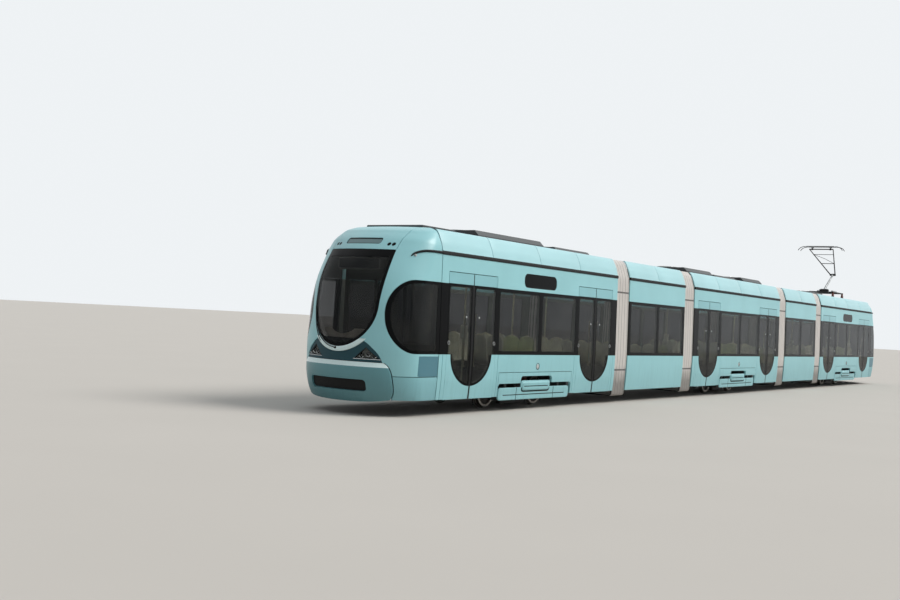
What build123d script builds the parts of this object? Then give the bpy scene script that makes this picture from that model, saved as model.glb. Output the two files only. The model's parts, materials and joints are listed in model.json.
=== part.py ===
from build123d import *
import os
from math import hypot

# Five-section low-floor articulated tram, right-hand doors, in millimetres.
# +X is forward, +Y is the left side, +Z is up; the origin is on the rail line, midway along the tram.
os.makedirs("parts", exist_ok=True)

# Lengths along the tram
NOSE_CAR = 7985
SHORT_CAR = 3150
MIDDLE_CAR = 6700
GANGWAY = 625
NOSE_MOULDING = 1335
BOGIE_FROM_NOSE = 4655
PANEL_GAP = 8

# Heights
SKIRT_Z = 280
FLOOR_Z = 350
FLOOR_THICK = 50
BELT_Z = 1050
BAND_TOP_Z = 2260
CEILING_Z = 2640
DRIP_Z = 2750
DECK_Z = 2930
FAIRING_TOP_Z = 3165

# Side skin: height, half width
SKIN = ((SKIRT_Z, 1118), (600, 1143), (BELT_Z, 1150), (DRIP_Z, 1118))
SIDE_WALL = 55
GLASS = 10
GLASS_GAP = 2
PILLAR = 60
FIT_GAP = 1

# Roof fairing
DRIP_LIP = 14
DRIP_RAIL = 40
FAIRING_MID = (55, 220)
FAIRING_LEAN = 168
FAIRING_THICK = 28
ROOF_SEAM = 10
ROOF_SEAM_DEPTH = 12

# Doors, on the right side only
DOOR_WIDTH = 1530
DOOR_FROM_NOSE = 2325
DOOR_FROM_GANGWAY = 1000
DOOR_MIDDLE = 2330
DOOR_SILL = 272
LEAF_THICK = 42
LEAF_FRAME = 48
DOOR_OVAL = (655, 560)

# Running gear
GAUGE_HALF = 500
WHEEL_R = 290
FLANGE = 25
WHEEL_WIDTH = 95
WHEELBASE = 1800
AXLE_R = 40
AXLE_HALF = 700
BEARING_GAP = 1
HUB_R = 95
RIM_THICK = 48
WEB_HALF = 14
AXLE_Z = WHEEL_R + FLANGE
WHEEL_BACK = GAUGE_HALF - 30
WHEEL_FRONT = WHEEL_BACK + WHEEL_WIDTH

# Bogie well in the floor
AISLE_HALF = 330
WELL_WALL = 36
WELL_HALF = WHEELBASE / 2 + AXLE_Z + 85
WELL_TOP = 720
AISLE_Z = 430
AISLE_THICK = 45
RAMP = 600

# Articulation
TURNTABLE_R = 700
TURNTABLE_GAP = 6
PIVOT_R = 60
PIVOT_EYE_R = 130
TONGUE_HALF = 90
TONGUE_ROOT = 140
TONGUE_HEEL = 120
TONGUE_LOW = 70
TONGUE_HIGH = 12
PIN_END = 4
BELLOWS_END_GAP = 12
BELLOWS_FOLDS = 9
FOLD_DEPTH = 42
BELLOWS_THICK = 20
BELLOWS_Z = 155
BELLOWS_IN = 20
BELLOWS_KNEE_Z = 1000
BELLOWS_TOP = ((1000, 3060), (900, 3170))

# Pantograph: pins as (ahead of the bogie's centre, height), plinth and frame, arms, head
PANTO_FOOT = (800, 3480)
PANTO_KNEE = (1860, 4120)
PANTO_HEAD = (180, 4960)
PANTO_PIN_R = 16
PANTO_TUBE_R = 34
PLINTH_BACK = 330
PLINTH_FRONT = 150
PLINTH_MARGIN = (60, 80)
PLINTH_HEIGHT = 170
FRAME_HALF = 420
FRAME_BAR = (60, 40)
FRAME_BELOW_FOOT = 60
INSULATOR_R = (58, 36)
INSULATOR_RIBS = 5
INSULATOR_PITCH = 52
EAR_Y = 150
EAR_THICK = 24
EAR_HALF = (60, 34)
LOWER_BOSS = (48, 130)
KNEE_BOSS = (44, 60)
UPPER_EYE = (40, 66, 105)
UPPER_ROOT_Y = 86
UPPER_TOP_Y = 430
UPPER_TUBE_R = 20
UPPER_BRACE = (0.45, 14)
SLEEVE_R = 34
SLEEVE_Y = (300, 360)
HEAD_POST = (14, 26, 75)
HEAD_BAR = (170, 50, 80)
STRIP_X = 150
STRIP_HALF_WIDTH = 22
STRIP_Z = (80, 110)
PANTO_STRIP_HALF = 560
PANTO_HORN_HALF = 820
HORN_WIDTH = 28
HORN_BEND = 130
HORN_DROP = 60

# Bogie frame
BEAM_Y = 650
BEAM_HALF = 55
BEAM_X = 1010
BEAM_Z = (235, 400)
CROSS_X = 330
CROSS_HALF = 70
CROSS_Z = (215, 335)
KINGPIN_R = 45
KINGPIN_Z = 225
SPRING_X = 250
SPRING_R = 85
SPRING_GAP = 8
SPRING_SEAT = 14
SPRING_SEAT_R = 105
BEAM_DROP = (480, 620, 60)
AXLE_BOX = (120, 110)
CENTRE_HALF = 130
MOTOR_R = 150
MOTOR_Y = 830
MOTOR_HALF = 470
MOTOR_LIFT = 10
MOTOR_BRACKET = (220, 60, 30)
SHAFT_R = 55
GEARBOX = (150, 95, 130, 120)
BRAKE_HALF = (390, 45)
BRAKE_Z = (70, 170)
BRAKE_Y = WHEEL_BACK + 48
HANGER_HALF = (25, 20)
WELD = 5

# Skirt cut-out and cover over a bogie, measured from its centre
CUTOUT_HALF = 1380
CUTOUT_TOP = 515
CUTOUT_RISE_HALF = 580
CUTOUT_RISE_TOP = 648
COVER_GAP = 28
COVER_Z = 205
COVER_TOP = 438
COVER_LUMP_HALF = 550
COVER_LUMP_TOP = 565
COVER_THICK = 26
COVER_CUT = 70
CUTOUT_SLOPE = 80
CUTOUT_TAPER = 60
LUMP_MARGIN = 20
LUMP_LOW_Z = 350
LUMP_PROUD = 12
BRACKET_X = 1000
BRACKET_HALF = 40
BRACKET_Z = (378, 408)
BRACKET_THICK = 20
BRACKET_IN = 30

# Nose moulding: height, how far its tip lies behind the bumper's, depth of its rounded part
NOSE_SLICES = (
    (225, 180, 850),
    (400, 99, 850),
    (600, 45, 850),
    (BELT_Z, 45, 760),
    (1500, 90, 690),
    (1900, 110, 725),
    (2250, 175, 790),
    (2650, 385, 750),
    (DRIP_Z, 458, 710),
    (2850, 540, 660),
    (2940, 623, 600),
    (3040, 750, 560),
    (3130, 905, 500),
    (3180, 1095, 430),
)
ROOF_EDGE = ((DRIP_Z, 1118), (2900, 1085), (3040, 1022), (3130, 966), (3180, 930))
NOSE_THICK = 60
SLICE_STEP = 40
NOSE_BACK = 800

# Windscreen: half width and height where its oval foot starts, lowest point, bulge and top corner
SCREEN_HALF = 680
SCREEN_ARC_Z = 1845
SCREEN_LOW_Z = 1110
SCREEN_BULGE = (705, 2300)
SCREEN_TOP = (692, 2746)
SCREEN_GLASS = 14
PANE_GAP = 6
SCREEN_BACK = 200

# Proud strip under the windscreen, and the recessed mask below it, as (half width, height)
RING_WIDTH = 80
RING_PROUD = 8
RING_DEPTH = 30
RING_TOP_Z = 1260
MASK_EDGE = ((805, 870), (760, 978), (704, 1055), (640, 1115), (570, 1176), (500, 1220), (430, 1262))
MASK_DEPTH = 15

# Rounded side window of the nose: its start ahead of the joint, its oval end's centre and reach behind the tip
CORNER_START = 70
CORNER_ARC = 715
CORNER_REACH = 430
CORNER_IN = 600

# Bumper: its seam with the moulding as (behind the tip, height), from its foot up
BUMPER_Z = (225, 880)
BUMPER_SEAM = ((455, 277), (449, 377), (422, 492), (385, 622), (355, 734), (323, 812), (293, 858), (270, 880))
BUMPER_PROUD = 45
BUMPER_LEDGE_Z = 798
BUMPER_SLOT = (560, 445, 600)
SLOT_DEPTH = 35

# Lamps and sign slot of the nose
LAMP_TRIANGLE = ((360, 940), (752, 945), (540, 1118))
LAMP_SHRINK = 0.07
LAMP_DEPTH = 26
COVER_SKIN = 12
MARKER_LAMPS = (529, 605)
MARKER_Z = 2840
MARKER_R = 26
MARKER_GAP = 2
SIGN_SLOT = (362, 2862, 2942)

# Cab fittings as (x, z): desk and panel from the desk's edge, seat from its back
PARTITION_BACK = 30
PARTITION_THICK = 35
PARTITION_HALF = 1020
PARTITION_POST = 90
PARTITION_SILL = 150
DESK_FROM_NOSE = 760
DESK_HALF = 900
DESK = ((0, 960), (40, 1020), (520, 1120), (520, FLOOR_Z), (210, FLOOR_Z), (160, 900))
PANEL_HALF = 420
PANEL = ((260, 1075), (380, 1240), (440, 1240), (440, 1075))
CAB_MARGIN = 25
CAB_LOW_TOP = 1400
DRIVER_SEAT = 160
DRIVER_HALF = (250, 240)
DRIVER_POST = (240, 70, 780)
DRIVER_FOOT = (200, 40)
DRIVER_CUSHION = ((0, 800), (0, 880), (60, 870), (470, 870), (480, 790), (320, 760))
DRIVER_BACK = ((0, 870), (-90, 1520), (-20, 1540), (80, 870))

# Seats: outline as (ahead of the back's foot, above the base), widths, outer edge of a row
SEAT_PAN = 430
SEAT_BACK = 930
SEAT_OUTLINE = ((0, 0), (280, 0), (330, SEAT_PAN - 60), (440, SEAT_PAN - 40), (445, SEAT_PAN), (60, SEAT_PAN - 12),
                (-30, SEAT_BACK - 10), (-70, SEAT_BACK), (-50, SEAT_PAN - 100))
BENCH_WIDTH = 690
SINGLE_WIDTH = 450
SEAT_EDGE_Y = 1060
POLE_R = 17
POLE_Y = 400
POLE_FROM_DOOR = 60

# Seats over a bogie from its centre as (x, facing), and a short car's from its rear end as (x, right width)
WELL_SEATS = ((-1120, 1), (-60, -1), (60, 1), (1120, -1))
SHORT_SEATS = ((275, BENCH_WIDTH), (1025, SINGLE_WIDTH), (1775, SINGLE_WIDTH), (2525, BENCH_WIDTH))

# Roof units: car, start and end from the car's rear end, half width, height above the deck
ROOF_UNITS = (
    (1, 400, 1900, 640, 330),
    (1, 6250, 6630, 560, 200),
    (3, 450, 2250, 680, 380),
    (3, 2650, 4250, 640, 330),
    (3, 4650, 6250, 680, 380),
    (5, 12, 1092, 560, 260),
    (5, 1692, 4092, 680, 380),
    (5, 4742, 6242, 640, 330),
)
UNIT_SHOULDER = 90
FIN_PITCH = 150
FIN_WIDTH = 60
FIN_DEPTH = 30
FIN_START = 150
FIN_ENDS = 200

# Window posts and roof seams: from the bogie's centre or the car's middle, and clear of a car's end or door
POST = 45
NOSE_POST = 220
MIDDLE_POST = 120
DOOR_POST = 55
NOSE_RIGHT_PANE = -40
NOSE_LEFT_PANES = (-1680, 0, 1700)
NOSE_ROOF_SEAMS = (-1610, 20, 1740)
MIDDLE_PANE = 1600
MIDDLE_SEAM = 1650

# Reaches beyond the body that cutting blocks end at
OUTSIDE_Y = 1250
INSIDE_Y = 900
OUTSIDE_X = 1300

# Places along the tram
MIDDLE_END = MIDDLE_CAR / 2
SHORT_START = MIDDLE_END + GANGWAY
SHORT_END = SHORT_START + SHORT_CAR
NOSE_CAR_START = SHORT_END + GANGWAY
NOSE_TIP = NOSE_CAR_START + NOSE_CAR
NOSE_JOINT = NOSE_TIP - NOSE_MOULDING
PIVOT_INNER = MIDDLE_END + GANGWAY / 2
PIVOT_OUTER = SHORT_END + GANGWAY / 2
PIVOTS = (-PIVOT_OUTER, -PIVOT_INNER, PIVOT_INNER, PIVOT_OUTER)
BOGIE_X = NOSE_TIP - BOGIE_FROM_NOSE
DOOR_OUTER = NOSE_TIP - DOOR_FROM_NOSE
DOOR_INNER = NOSE_CAR_START + DOOR_FROM_GANGWAY


def box(x0, x1, y0, y1, z0, z1):
    """A block between two corners."""
    centre = ((x0 + x1) / 2, (y0 + y1) / 2, (z0 + z1) / 2)
    return Pos(*centre) * Box(abs(x1 - x0), abs(y1 - y0), abs(z1 - z0))


def bar(points, x0, x1):
    """A closed outline of (y, z) points, carried along the tram from x0 to x1."""
    face = make_face(Polyline(*[(x0, y, z) for y, z in points], close=True))
    return extrude(face, amount=x1 - x0, dir=(1, 0, 0))


def slab(points, y0, y1):
    """A closed outline of (x, z) points, carried across the tram from y0 to y1."""
    face = make_face(Polyline(*[(x, y0, z) for x, z in points], close=True))
    return extrude(face, amount=y1 - y0, dir=(0, 1, 0))


def along_y(radius, x, z, y0, y1):
    """A round bar across the tram."""
    return Pos(x, (y0 + y1) / 2, z) * Rot(90, 0, 0) * Cylinder(radius, abs(y1 - y0))


def along_x(radius, y, z, x0, x1):
    """A round bar along the tram."""
    return Pos((x0 + x1) / 2, y, z) * Rot(0, 90, 0) * Cylinder(radius, abs(x1 - x0))


def upright(radius, x, y, z0, z1):
    """A standing round bar."""
    return Pos(x, y, (z0 + z1) / 2) * Cylinder(radius, z1 - z0)


def tube(start, end, radius):
    """A round bar from one point to another."""
    line = Line(start, end)
    plane = Plane(origin=line @ 0, z_dir=line % 0)
    return extrude(plane * Circle(radius), amount=line.length)


def join(pieces):
    """One solid of several that meet."""
    total = pieces[0]
    for piece in pieces[1:]:
        total = total + piece
    return total


def skin(z):
    """Half the body's width at a height."""
    if z <= SKIN[0][0]:
        return SKIN[0][1]
    for (z0, y0), (z1, y1) in zip(SKIN, SKIN[1:]):
        if z <= z1:
            return y0 + (y1 - y0) * (z - z0) / (z1 - z0)
    return SKIN[-1][1]


def side_plate(side, x0, x1, z0, z1, inset, thick):
    """A plate that follows the side skin, set in by inset and thick deep; side is 1 or -1."""
    heights = [z0] + [z for z, _ in SKIN if z0 < z < z1] + [z1]
    outer = [(side * (skin(z) - inset), z) for z in heights]
    inner = [(y - side * thick, z) for y, z in reversed(outer)]
    return bar(outer + inner, x0, x1)


def write(shape, name):
    """Write one named piece."""
    solids = shape if isinstance(shape, (list, tuple)) else [shape]
    flat = [solid for piece in solids for solid in piece.solids()]
    export_step(flat[0] if len(flat) == 1 else Compound(flat), f"parts/{name}.step")


NOSE_BODY = (NOSE_CAR_START, NOSE_JOINT - PANEL_GAP)
DOOR_EDGE = DOOR_WIDTH / 2 + DOOR_POST
NOSE_RIGHT = (DOOR_INNER + DOOR_EDGE, BOGIE_X + NOSE_RIGHT_PANE, DOOR_OUTER - DOOR_EDGE)
NOSE_LEFT = (NOSE_BODY[0] + NOSE_POST, *[BOGIE_X + x for x in NOSE_LEFT_PANES], NOSE_BODY[1] - POST)
NOSE_SEAMS = tuple(BOGIE_X + x for x in NOSE_ROOF_SEAMS)
SHORT_PANES = (SHORT_START + POST, (SHORT_START + SHORT_END) / 2, SHORT_END - POST)
MIDDLE_RIGHT = (-DOOR_MIDDLE + DOOR_EDGE, 0, DOOR_MIDDLE - DOOR_EDGE)
MIDDLE_LEFT = (-MIDDLE_END + MIDDLE_POST, -MIDDLE_PANE, 0, MIDDLE_PANE, MIDDLE_END - MIDDLE_POST)


def flip(values):
    """The same places at the other end of the tram, in rising order."""
    return tuple(-value for value in reversed(values))


# Cars: number, rear end, front end, bogie centre or None, door centres,
# right panes' edges, left panes' edges, roof seams
CARS = (
    (1, *NOSE_BODY, BOGIE_X, (DOOR_INNER, DOOR_OUTER), NOSE_RIGHT, NOSE_LEFT, NOSE_SEAMS),
    (2, SHORT_START, SHORT_END, None, (), SHORT_PANES, SHORT_PANES, (SHORT_PANES[1],)),
    (3, -MIDDLE_END, MIDDLE_END, 0, (-DOOR_MIDDLE, DOOR_MIDDLE), MIDDLE_RIGHT, MIDDLE_LEFT,
     (-MIDDLE_SEAM, 0, MIDDLE_SEAM)),
    (4, -SHORT_END, -SHORT_START, None, (), flip(SHORT_PANES), flip(SHORT_PANES),
     (-SHORT_PANES[1],)),
    (5, *flip(NOSE_BODY), -BOGIE_X, (-DOOR_OUTER, -DOOR_INNER), flip(NOSE_RIGHT), flip(NOSE_LEFT),
     flip(NOSE_SEAMS)),
)
BOGIE_OF_CAR = {1: 1, 3: 2, 5: 3}


def cutout_points(centre):
    """The skirt's opening over a bogie, as (x, z) points."""
    half = ((CUTOUT_HALF, SKIRT_Z - 10), (CUTOUT_HALF - CUTOUT_TAPER, CUTOUT_TOP),
            (CUTOUT_RISE_HALF + CUTOUT_SLOPE, CUTOUT_TOP), (CUTOUT_RISE_HALF - CUTOUT_SLOPE, CUTOUT_RISE_TOP))
    right = [(centre + x, z) for x, z in half]
    left = [(centre - x, z) for x, z in reversed(half)]
    return right + left


def side_wall(side, x0, x1, panes, doors, bogie):
    """One car's side: skin with glazed openings, doorways and the bogie's cut-out."""
    wall = side_plate(side, x0, x1, SKIRT_Z, DRIP_Z, 0, SIDE_WALL)
    for left, right in zip(panes, panes[1:]):
        rabbet = side_plate(side, left, right, BELT_Z, BAND_TOP_Z, -GLASS, 2 * GLASS + GLASS_GAP)
        through = box(left + PILLAR, right - PILLAR, side * INSIDE_Y, side * OUTSIDE_Y,
                      BELT_Z + PILLAR, BAND_TOP_Z - PILLAR)
        wall = wall - rabbet - through
    for door in doors:
        half = DOOR_WIDTH / 2 + PANEL_GAP / 2
        wall = wall - box(door - half, door + half, side * INSIDE_Y, side * OUTSIDE_Y,
                          DOOR_SILL - PANEL_GAP, BAND_TOP_Z + PANEL_GAP)
    if bogie is not None:
        wall = wall - slab(cutout_points(bogie), *sorted((side * INSIDE_Y, side * OUTSIDE_Y)))
    return wall


def side_panes(side, panes):
    """The flush panes of one side."""
    return [side_plate(side, left + PANEL_GAP / 2, right - PANEL_GAP / 2, BELT_Z + 3, BAND_TOP_Z - 3, 0, GLASS)
            for left, right in zip(panes, panes[1:])]


def door_outline(centre, margin):
    """The leaf pair's glazed outline: a band with a half oval below it, across the right wall."""
    half = DOOR_WIDTH / 2 - margin
    band = box(centre - half, centre + half, -OUTSIDE_Y, -INSIDE_Y, BELT_Z - FIT_GAP, BAND_TOP_Z - margin)
    oval_place = Pos(centre, -INSIDE_Y, BELT_Z) * Rot(90, 0, 0)
    oval_face = oval_place * Ellipse(DOOR_OVAL[0] - margin, DOOR_OVAL[1] - margin)
    oval = extrude(oval_face, amount=OUTSIDE_Y - INSIDE_Y, dir=(0, -1, 0))
    return band + (oval & box(centre - half, centre + half, -OUTSIDE_Y, -INSIDE_Y, 0, BELT_Z))


def door_leaves(centre):
    """Two door leaves with their glazed openings, and their panes."""
    leaves = []
    panes = []
    outer_glass = door_outline(centre, 6)
    opening = door_outline(centre, LEAF_FRAME)
    for hand in (-1, 1):
        inner_x = centre + hand * PANEL_GAP / 2
        outer_x = centre + hand * DOOR_WIDTH / 2
        x0 = min(inner_x, outer_x)
        x1 = max(inner_x, outer_x)
        leaf = side_plate(-1, x0, x1, DOOR_SILL, BAND_TOP_Z + 2, 0, LEAF_THICK)
        pane_zone = side_plate(-1, x0 + 6, x1 - 6, DOOR_SILL, BAND_TOP_Z + 2, -GLASS, 2 * GLASS + GLASS_GAP)
        open_zone = box(x0 + LEAF_FRAME, x1 - LEAF_FRAME, -OUTSIDE_Y, -INSIDE_Y, DOOR_SILL, BAND_TOP_Z)
        leaf = leaf - (pane_zone & outer_glass) - (open_zone & opening)
        pane = side_plate(-1, x0 + 8, x1 - 8, DOOR_SILL, BAND_TOP_Z, 0, GLASS) & door_outline(centre, 8)
        leaves.append(leaf)
        panes.append(pane)
    return leaves, panes


def roof_half(side):
    """Half of the roof's outline from the ceiling to the fairing's top, as edges in the YZ plane."""
    top_y = SKIN[-1][1] - FAIRING_LEAN
    seat_y = skin(CEILING_Z) - SIDE_WALL - FIT_GAP - 4
    lip_y = SKIN[-1][1] + DRIP_LIP
    rail_z = DRIP_Z + DRIP_RAIL
    low = Polyline((0, 0, CEILING_Z), (0, side * seat_y, CEILING_Z), (0, side * seat_y, DRIP_Z),
                   (0, side * lip_y, DRIP_Z), (0, side * lip_y, rail_z), (0, side * SKIN[-1][1], rail_z))
    mid = (0, side * (SKIN[-1][1] - FAIRING_MID[0]), DRIP_Z + FAIRING_MID[1])
    fairing = ThreePointArc(low @ 1, mid, (0, side * top_y, FAIRING_TOP_Z))
    inner_y = top_y - FAIRING_THICK
    high = Polyline(fairing @ 1, (0, side * inner_y, FAIRING_TOP_Z), (0, side * inner_y, DECK_Z), (0, 0, DECK_Z))
    return [low, fairing, high]


def roof(x0, x1, seams):
    """Ceiling, deck and the two fairings of a car, with the fairing panels' seams."""
    section = make_face(roof_half(1) + roof_half(-1))
    shell = extrude(Pos(x0, 0, 0) * section, amount=x1 - x0, dir=(1, 0, 0))
    low_y = SKIN[-1][1] - ROOF_SEAM_DEPTH
    mid_y = low_y - FAIRING_MID[0]
    top_y = low_y - FAIRING_LEAN
    rail_z = DRIP_Z + DRIP_RAIL
    for seam in seams:
        for side in (-1, 1):
            arc = ThreePointArc((seam, side * low_y, rail_z), (seam, side * mid_y, DRIP_Z + FAIRING_MID[1]),
                                (seam, side * top_y, FAIRING_TOP_Z))
            edge = Polyline(arc @ 1, (seam, side * OUTSIDE_Y, FAIRING_TOP_Z), (seam, side * OUTSIDE_Y, rail_z),
                            arc @ 0)
            groove = extrude(make_face([arc, edge]), amount=ROOF_SEAM, dir=(1, 0, 0))
            shell = shell - Pos(-ROOF_SEAM / 2, 0, 0) * groove
    return shell


def wheel_box(centre, side):
    """The raised box over the wheels on one side of the aisle, open below and outwards."""
    end_y = side * (skin(FLOOR_Z) - SIDE_WALL - FIT_GAP)
    wall_y = side * AISLE_HALF
    out = WELL_HALF + WELL_WALL
    pieces = [box(centre - out, centre + out, wall_y, side * (AISLE_HALF + WELL_WALL),
                  AISLE_Z - AISLE_THICK, WELL_TOP),
              box(centre - out, centre + out, wall_y, end_y, WELL_TOP - WELL_WALL, WELL_TOP)]
    for hand in (-1, 1):
        pieces.append(box(centre + hand * WELL_HALF, centre + hand * out, wall_y, end_y,
                          FLOOR_Z - FLOOR_THICK, WELL_TOP))
        pieces.append(upright(SPRING_SEAT_R, centre + hand * SPRING_X, side * BEAM_Y,
                              WELL_TOP - WELL_WALL - SPRING_SEAT, WELL_TOP - WELL_WALL))
    return join(pieces)


def aisle_deck(centre):
    """The raised aisle over a bogie with the pin the bogie turns on."""
    out = WELL_HALF + WELL_WALL
    half = AISLE_HALF - FIT_GAP
    deck = box(centre - out, centre + out, -half, half, AISLE_Z - AISLE_THICK, AISLE_Z)
    return deck + upright(KINGPIN_R, centre, 0, KINGPIN_Z, AISLE_Z - AISLE_THICK)


def ramp(centre, hand):
    """The slope from the floor up to the raised aisle, on one side of a bogie."""
    low = FLOOR_Z - FLOOR_THICK
    start = centre + hand * (WELL_HALF + WELL_WALL + FIT_GAP)
    end = start + hand * RAMP
    return slab([(start, AISLE_Z), (start, low), (end, low), (end, FLOOR_Z)], -AISLE_HALF, AISLE_HALF)


def tongue(pivot, hand):
    """The bracket below a floor that holds the next car's pivot pin."""
    low = FLOOR_Z - FLOOR_THICK
    root = pivot - hand * (TURNTABLE_R + TONGUE_ROOT)
    bracket = box(root, pivot, -TONGUE_HALF, TONGUE_HALF, low - TONGUE_LOW, low - TONGUE_HIGH)
    heel = box(root, root + hand * TONGUE_HEEL, -TONGUE_HALF, TONGUE_HALF, low - TONGUE_LOW, low)
    eye = upright(PIVOT_EYE_R, pivot, 0, low - TONGUE_LOW, low - TONGUE_HIGH)
    return bracket + heel + eye - upright(PIVOT_R + BEARING_GAP, pivot, 0, 0, low)


def floor(x0, x1, bogie, ends, extra=None):
    """A car's floor plates, raised aisle and wheel boxes; ends lists the pivots with a turntable let in."""
    low = FLOOR_Z - FLOOR_THICK
    side_y = skin(low) - SIDE_WALL - FIT_GAP
    plate = box(x0, x1, -side_y, side_y, low, FLOOR_Z)
    if extra is not None:
        plate = plate + extra
    out = WELL_HALF + WELL_WALL + FIT_GAP
    plate = plate - box(bogie - out, bogie + out, -OUTSIDE_Y, OUTSIDE_Y, 0, FLOOR_Z + 1)
    plate = plate + ramp(bogie, 1) + ramp(bogie, -1)
    for pivot, hand in ends:
        plate = plate - upright(TURNTABLE_R + TURNTABLE_GAP, pivot, 0, low - 1, FLOOR_Z + 1)
        plate = plate + tongue(pivot, hand)
    return [plate, aisle_deck(bogie), wheel_box(bogie, -1), wheel_box(bogie, 1)]


def short_floor(x0, x1):
    """The floor of a short car: a plate that ends in a turntable and pivot pin at each gangway."""
    side_y = skin(FLOOR_Z - FLOOR_THICK) - SIDE_WALL - FIT_GAP
    low = FLOOR_Z - FLOOR_THICK
    pieces = [box(x0, x1, -side_y, side_y, low, FLOOR_Z)]
    for pivot in (x0 - GANGWAY / 2, x1 + GANGWAY / 2):
        pieces.append(upright(TURNTABLE_R, pivot, 0, low, FLOOR_Z))
        pieces.append(upright(PIVOT_R, pivot, 0, low - TONGUE_LOW - PIN_END, low))
    return join(pieces)


def half_width(z):
    """Half the width of skin or roof fairing at a height."""
    if z <= DRIP_Z:
        return skin(z)
    for (z0, y0), (z1, y1) in zip(ROOF_EDGE, ROOF_EDGE[1:]):
        if z <= z1:
            return y0 + (y1 - y0) * (z - z0) / (z1 - z0)
    return ROOF_EDGE[-1][1]


def nose_slice_at(z):
    """The nose's setback from its tip and its depth at a height."""
    if z <= NOSE_SLICES[0][0]:
        return NOSE_SLICES[0][1:]
    for (z0, t0, d0), (z1, t1, d1) in zip(NOSE_SLICES, NOSE_SLICES[1:]):
        if z <= z1:
            share = (z - z0) / (z1 - z0)
            return t0 + (t1 - t0) * share, d0 + (d1 - d0) * share
    return NOSE_SLICES[-1][1:]


def nose_plan(z, inset):
    """The nose's plan at a height, set in by inset: a quarter oval each side of the centreline."""
    setback, depth = nose_slice_at(z)
    x_tip = NOSE_TIP - setback - inset
    width = half_width(z) - inset
    x_side = NOSE_TIP - setback - depth
    right = EllipticalCenterArc((x_side, 0, z), x_tip - x_side, width, 270, arc_size=90)
    left = EllipticalCenterArc((x_side, 0, z), x_tip - x_side, width, 0, arc_size=90)
    x_back = NOSE_JOINT - NOSE_BACK
    back = Polyline((x_side, width, z), (x_back, width, z), (x_back, -width, z), (x_side, -width, z))
    return Wire([right, left] + list(back.edges()))


def nose_solid(inset, z0, z1):
    """The nose's closed form, set in by inset, between two heights."""
    inner = [row[0] for row in NOSE_SLICES if z0 + SLICE_STEP < row[0] < z1 - SLICE_STEP]
    heights = [z0] + inner + [z1]
    return Part() + Solid.make_loft([nose_plan(z, inset) for z in heights])


def screen_face(margin):
    """The windscreen's outline grown by margin, as a face across the tram."""
    half = SCREEN_HALF + margin
    top_z = SCREEN_TOP[1] + margin / 2
    foot = Plane.YZ * EllipticalCenterArc((0, SCREEN_ARC_Z), half, SCREEN_ARC_Z - SCREEN_LOW_Z + margin, 180,
                                          arc_size=180)
    sides = []
    for side in (-1, 1):
        sides.append(ThreePointArc((0, side * half, SCREEN_ARC_Z),
                                   (0, side * (SCREEN_BULGE[0] + margin), SCREEN_BULGE[1]),
                                   (0, side * (SCREEN_TOP[0] + margin), top_z)))
    top = Line(sides[0] @ 1, sides[1] @ 1)
    return make_face([foot, top] + sides)


def mask_face():
    """The recessed mask's outline, as a face across the tram."""
    points = [(0, y, z) for y, z in MASK_EDGE] + [(0, -y, z) for y, z in reversed(MASK_EDGE)]
    return make_face(Polyline(*points, close=True))


def ahead(face):
    """A face across the tram, carried forward through the nose."""
    return extrude(Pos(NOSE_JOINT + SCREEN_BACK, 0, 0) * face, amount=NOSE_MOULDING + OUTSIDE_X, dir=(1, 0, 0))


def triangle(side, shrink):
    """A lamp cluster's outline on one side, drawn in by a share of its size."""
    middle_y = sum(y for y, _ in LAMP_TRIANGLE) / 3
    middle_z = sum(z for _, z in LAMP_TRIANGLE) / 3
    share = 1 - shrink
    points = [(0, side * (middle_y + (y - middle_y) * share), middle_z + (z - middle_z) * share)
              for y, z in LAMP_TRIANGLE]
    return make_face(Polyline(*points, close=True))


def corner_pane(margin, side, deep):
    """The rounded side window of the nose, as a block through one side."""
    start = NOSE_JOINT + CORNER_START + margin
    arc_x = NOSE_TIP - CORNER_ARC
    low = BELT_Z + margin
    high = BAND_TOP_Z - margin
    end = Plane.XZ * EllipticalCenterArc((arc_x, (low + high) / 2), CORNER_REACH - margin, (high - low) / 2, -90,
                                         arc_size=180)
    straight = Polyline((arc_x, 0, high), (start, 0, high), (start, 0, low), (arc_x, 0, low))
    face = make_face([end] + list(straight.edges()))
    return extrude(Pos(0, side * CORNER_IN, 0) * face, amount=deep, dir=(0, side, 0))


def skin_layer(outer_inset, inner_inset):
    """A layer of the nose between two insets, ahead of its joint."""
    top = NOSE_SLICES[-1][0]
    layer = nose_solid(outer_inset, SKIRT_Z, top) - nose_solid(inner_inset, SKIRT_Z + NOSE_THICK, top - NOSE_THICK)
    return layer & box(NOSE_JOINT, NOSE_TIP + OUTSIDE_X, -OUTSIDE_Y, OUTSIDE_Y, 0, top + NOSE_THICK)


def bumper_zone(clearance, high):
    """The space ahead of the bumper's seam, grown towards the moulding by a clearance, up to a height."""
    seam = [(NOSE_TIP - x - clearance, z) for x, z in BUMPER_SEAM]
    foot = [(seam[0][0], 0)]
    ahead_x = NOSE_TIP + OUTSIDE_X
    return slab(foot + seam[:-1] + [(seam[-1][0], high), (ahead_x, high), (ahead_x, 0)], -OUTSIDE_Y, OUTSIDE_Y)


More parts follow.
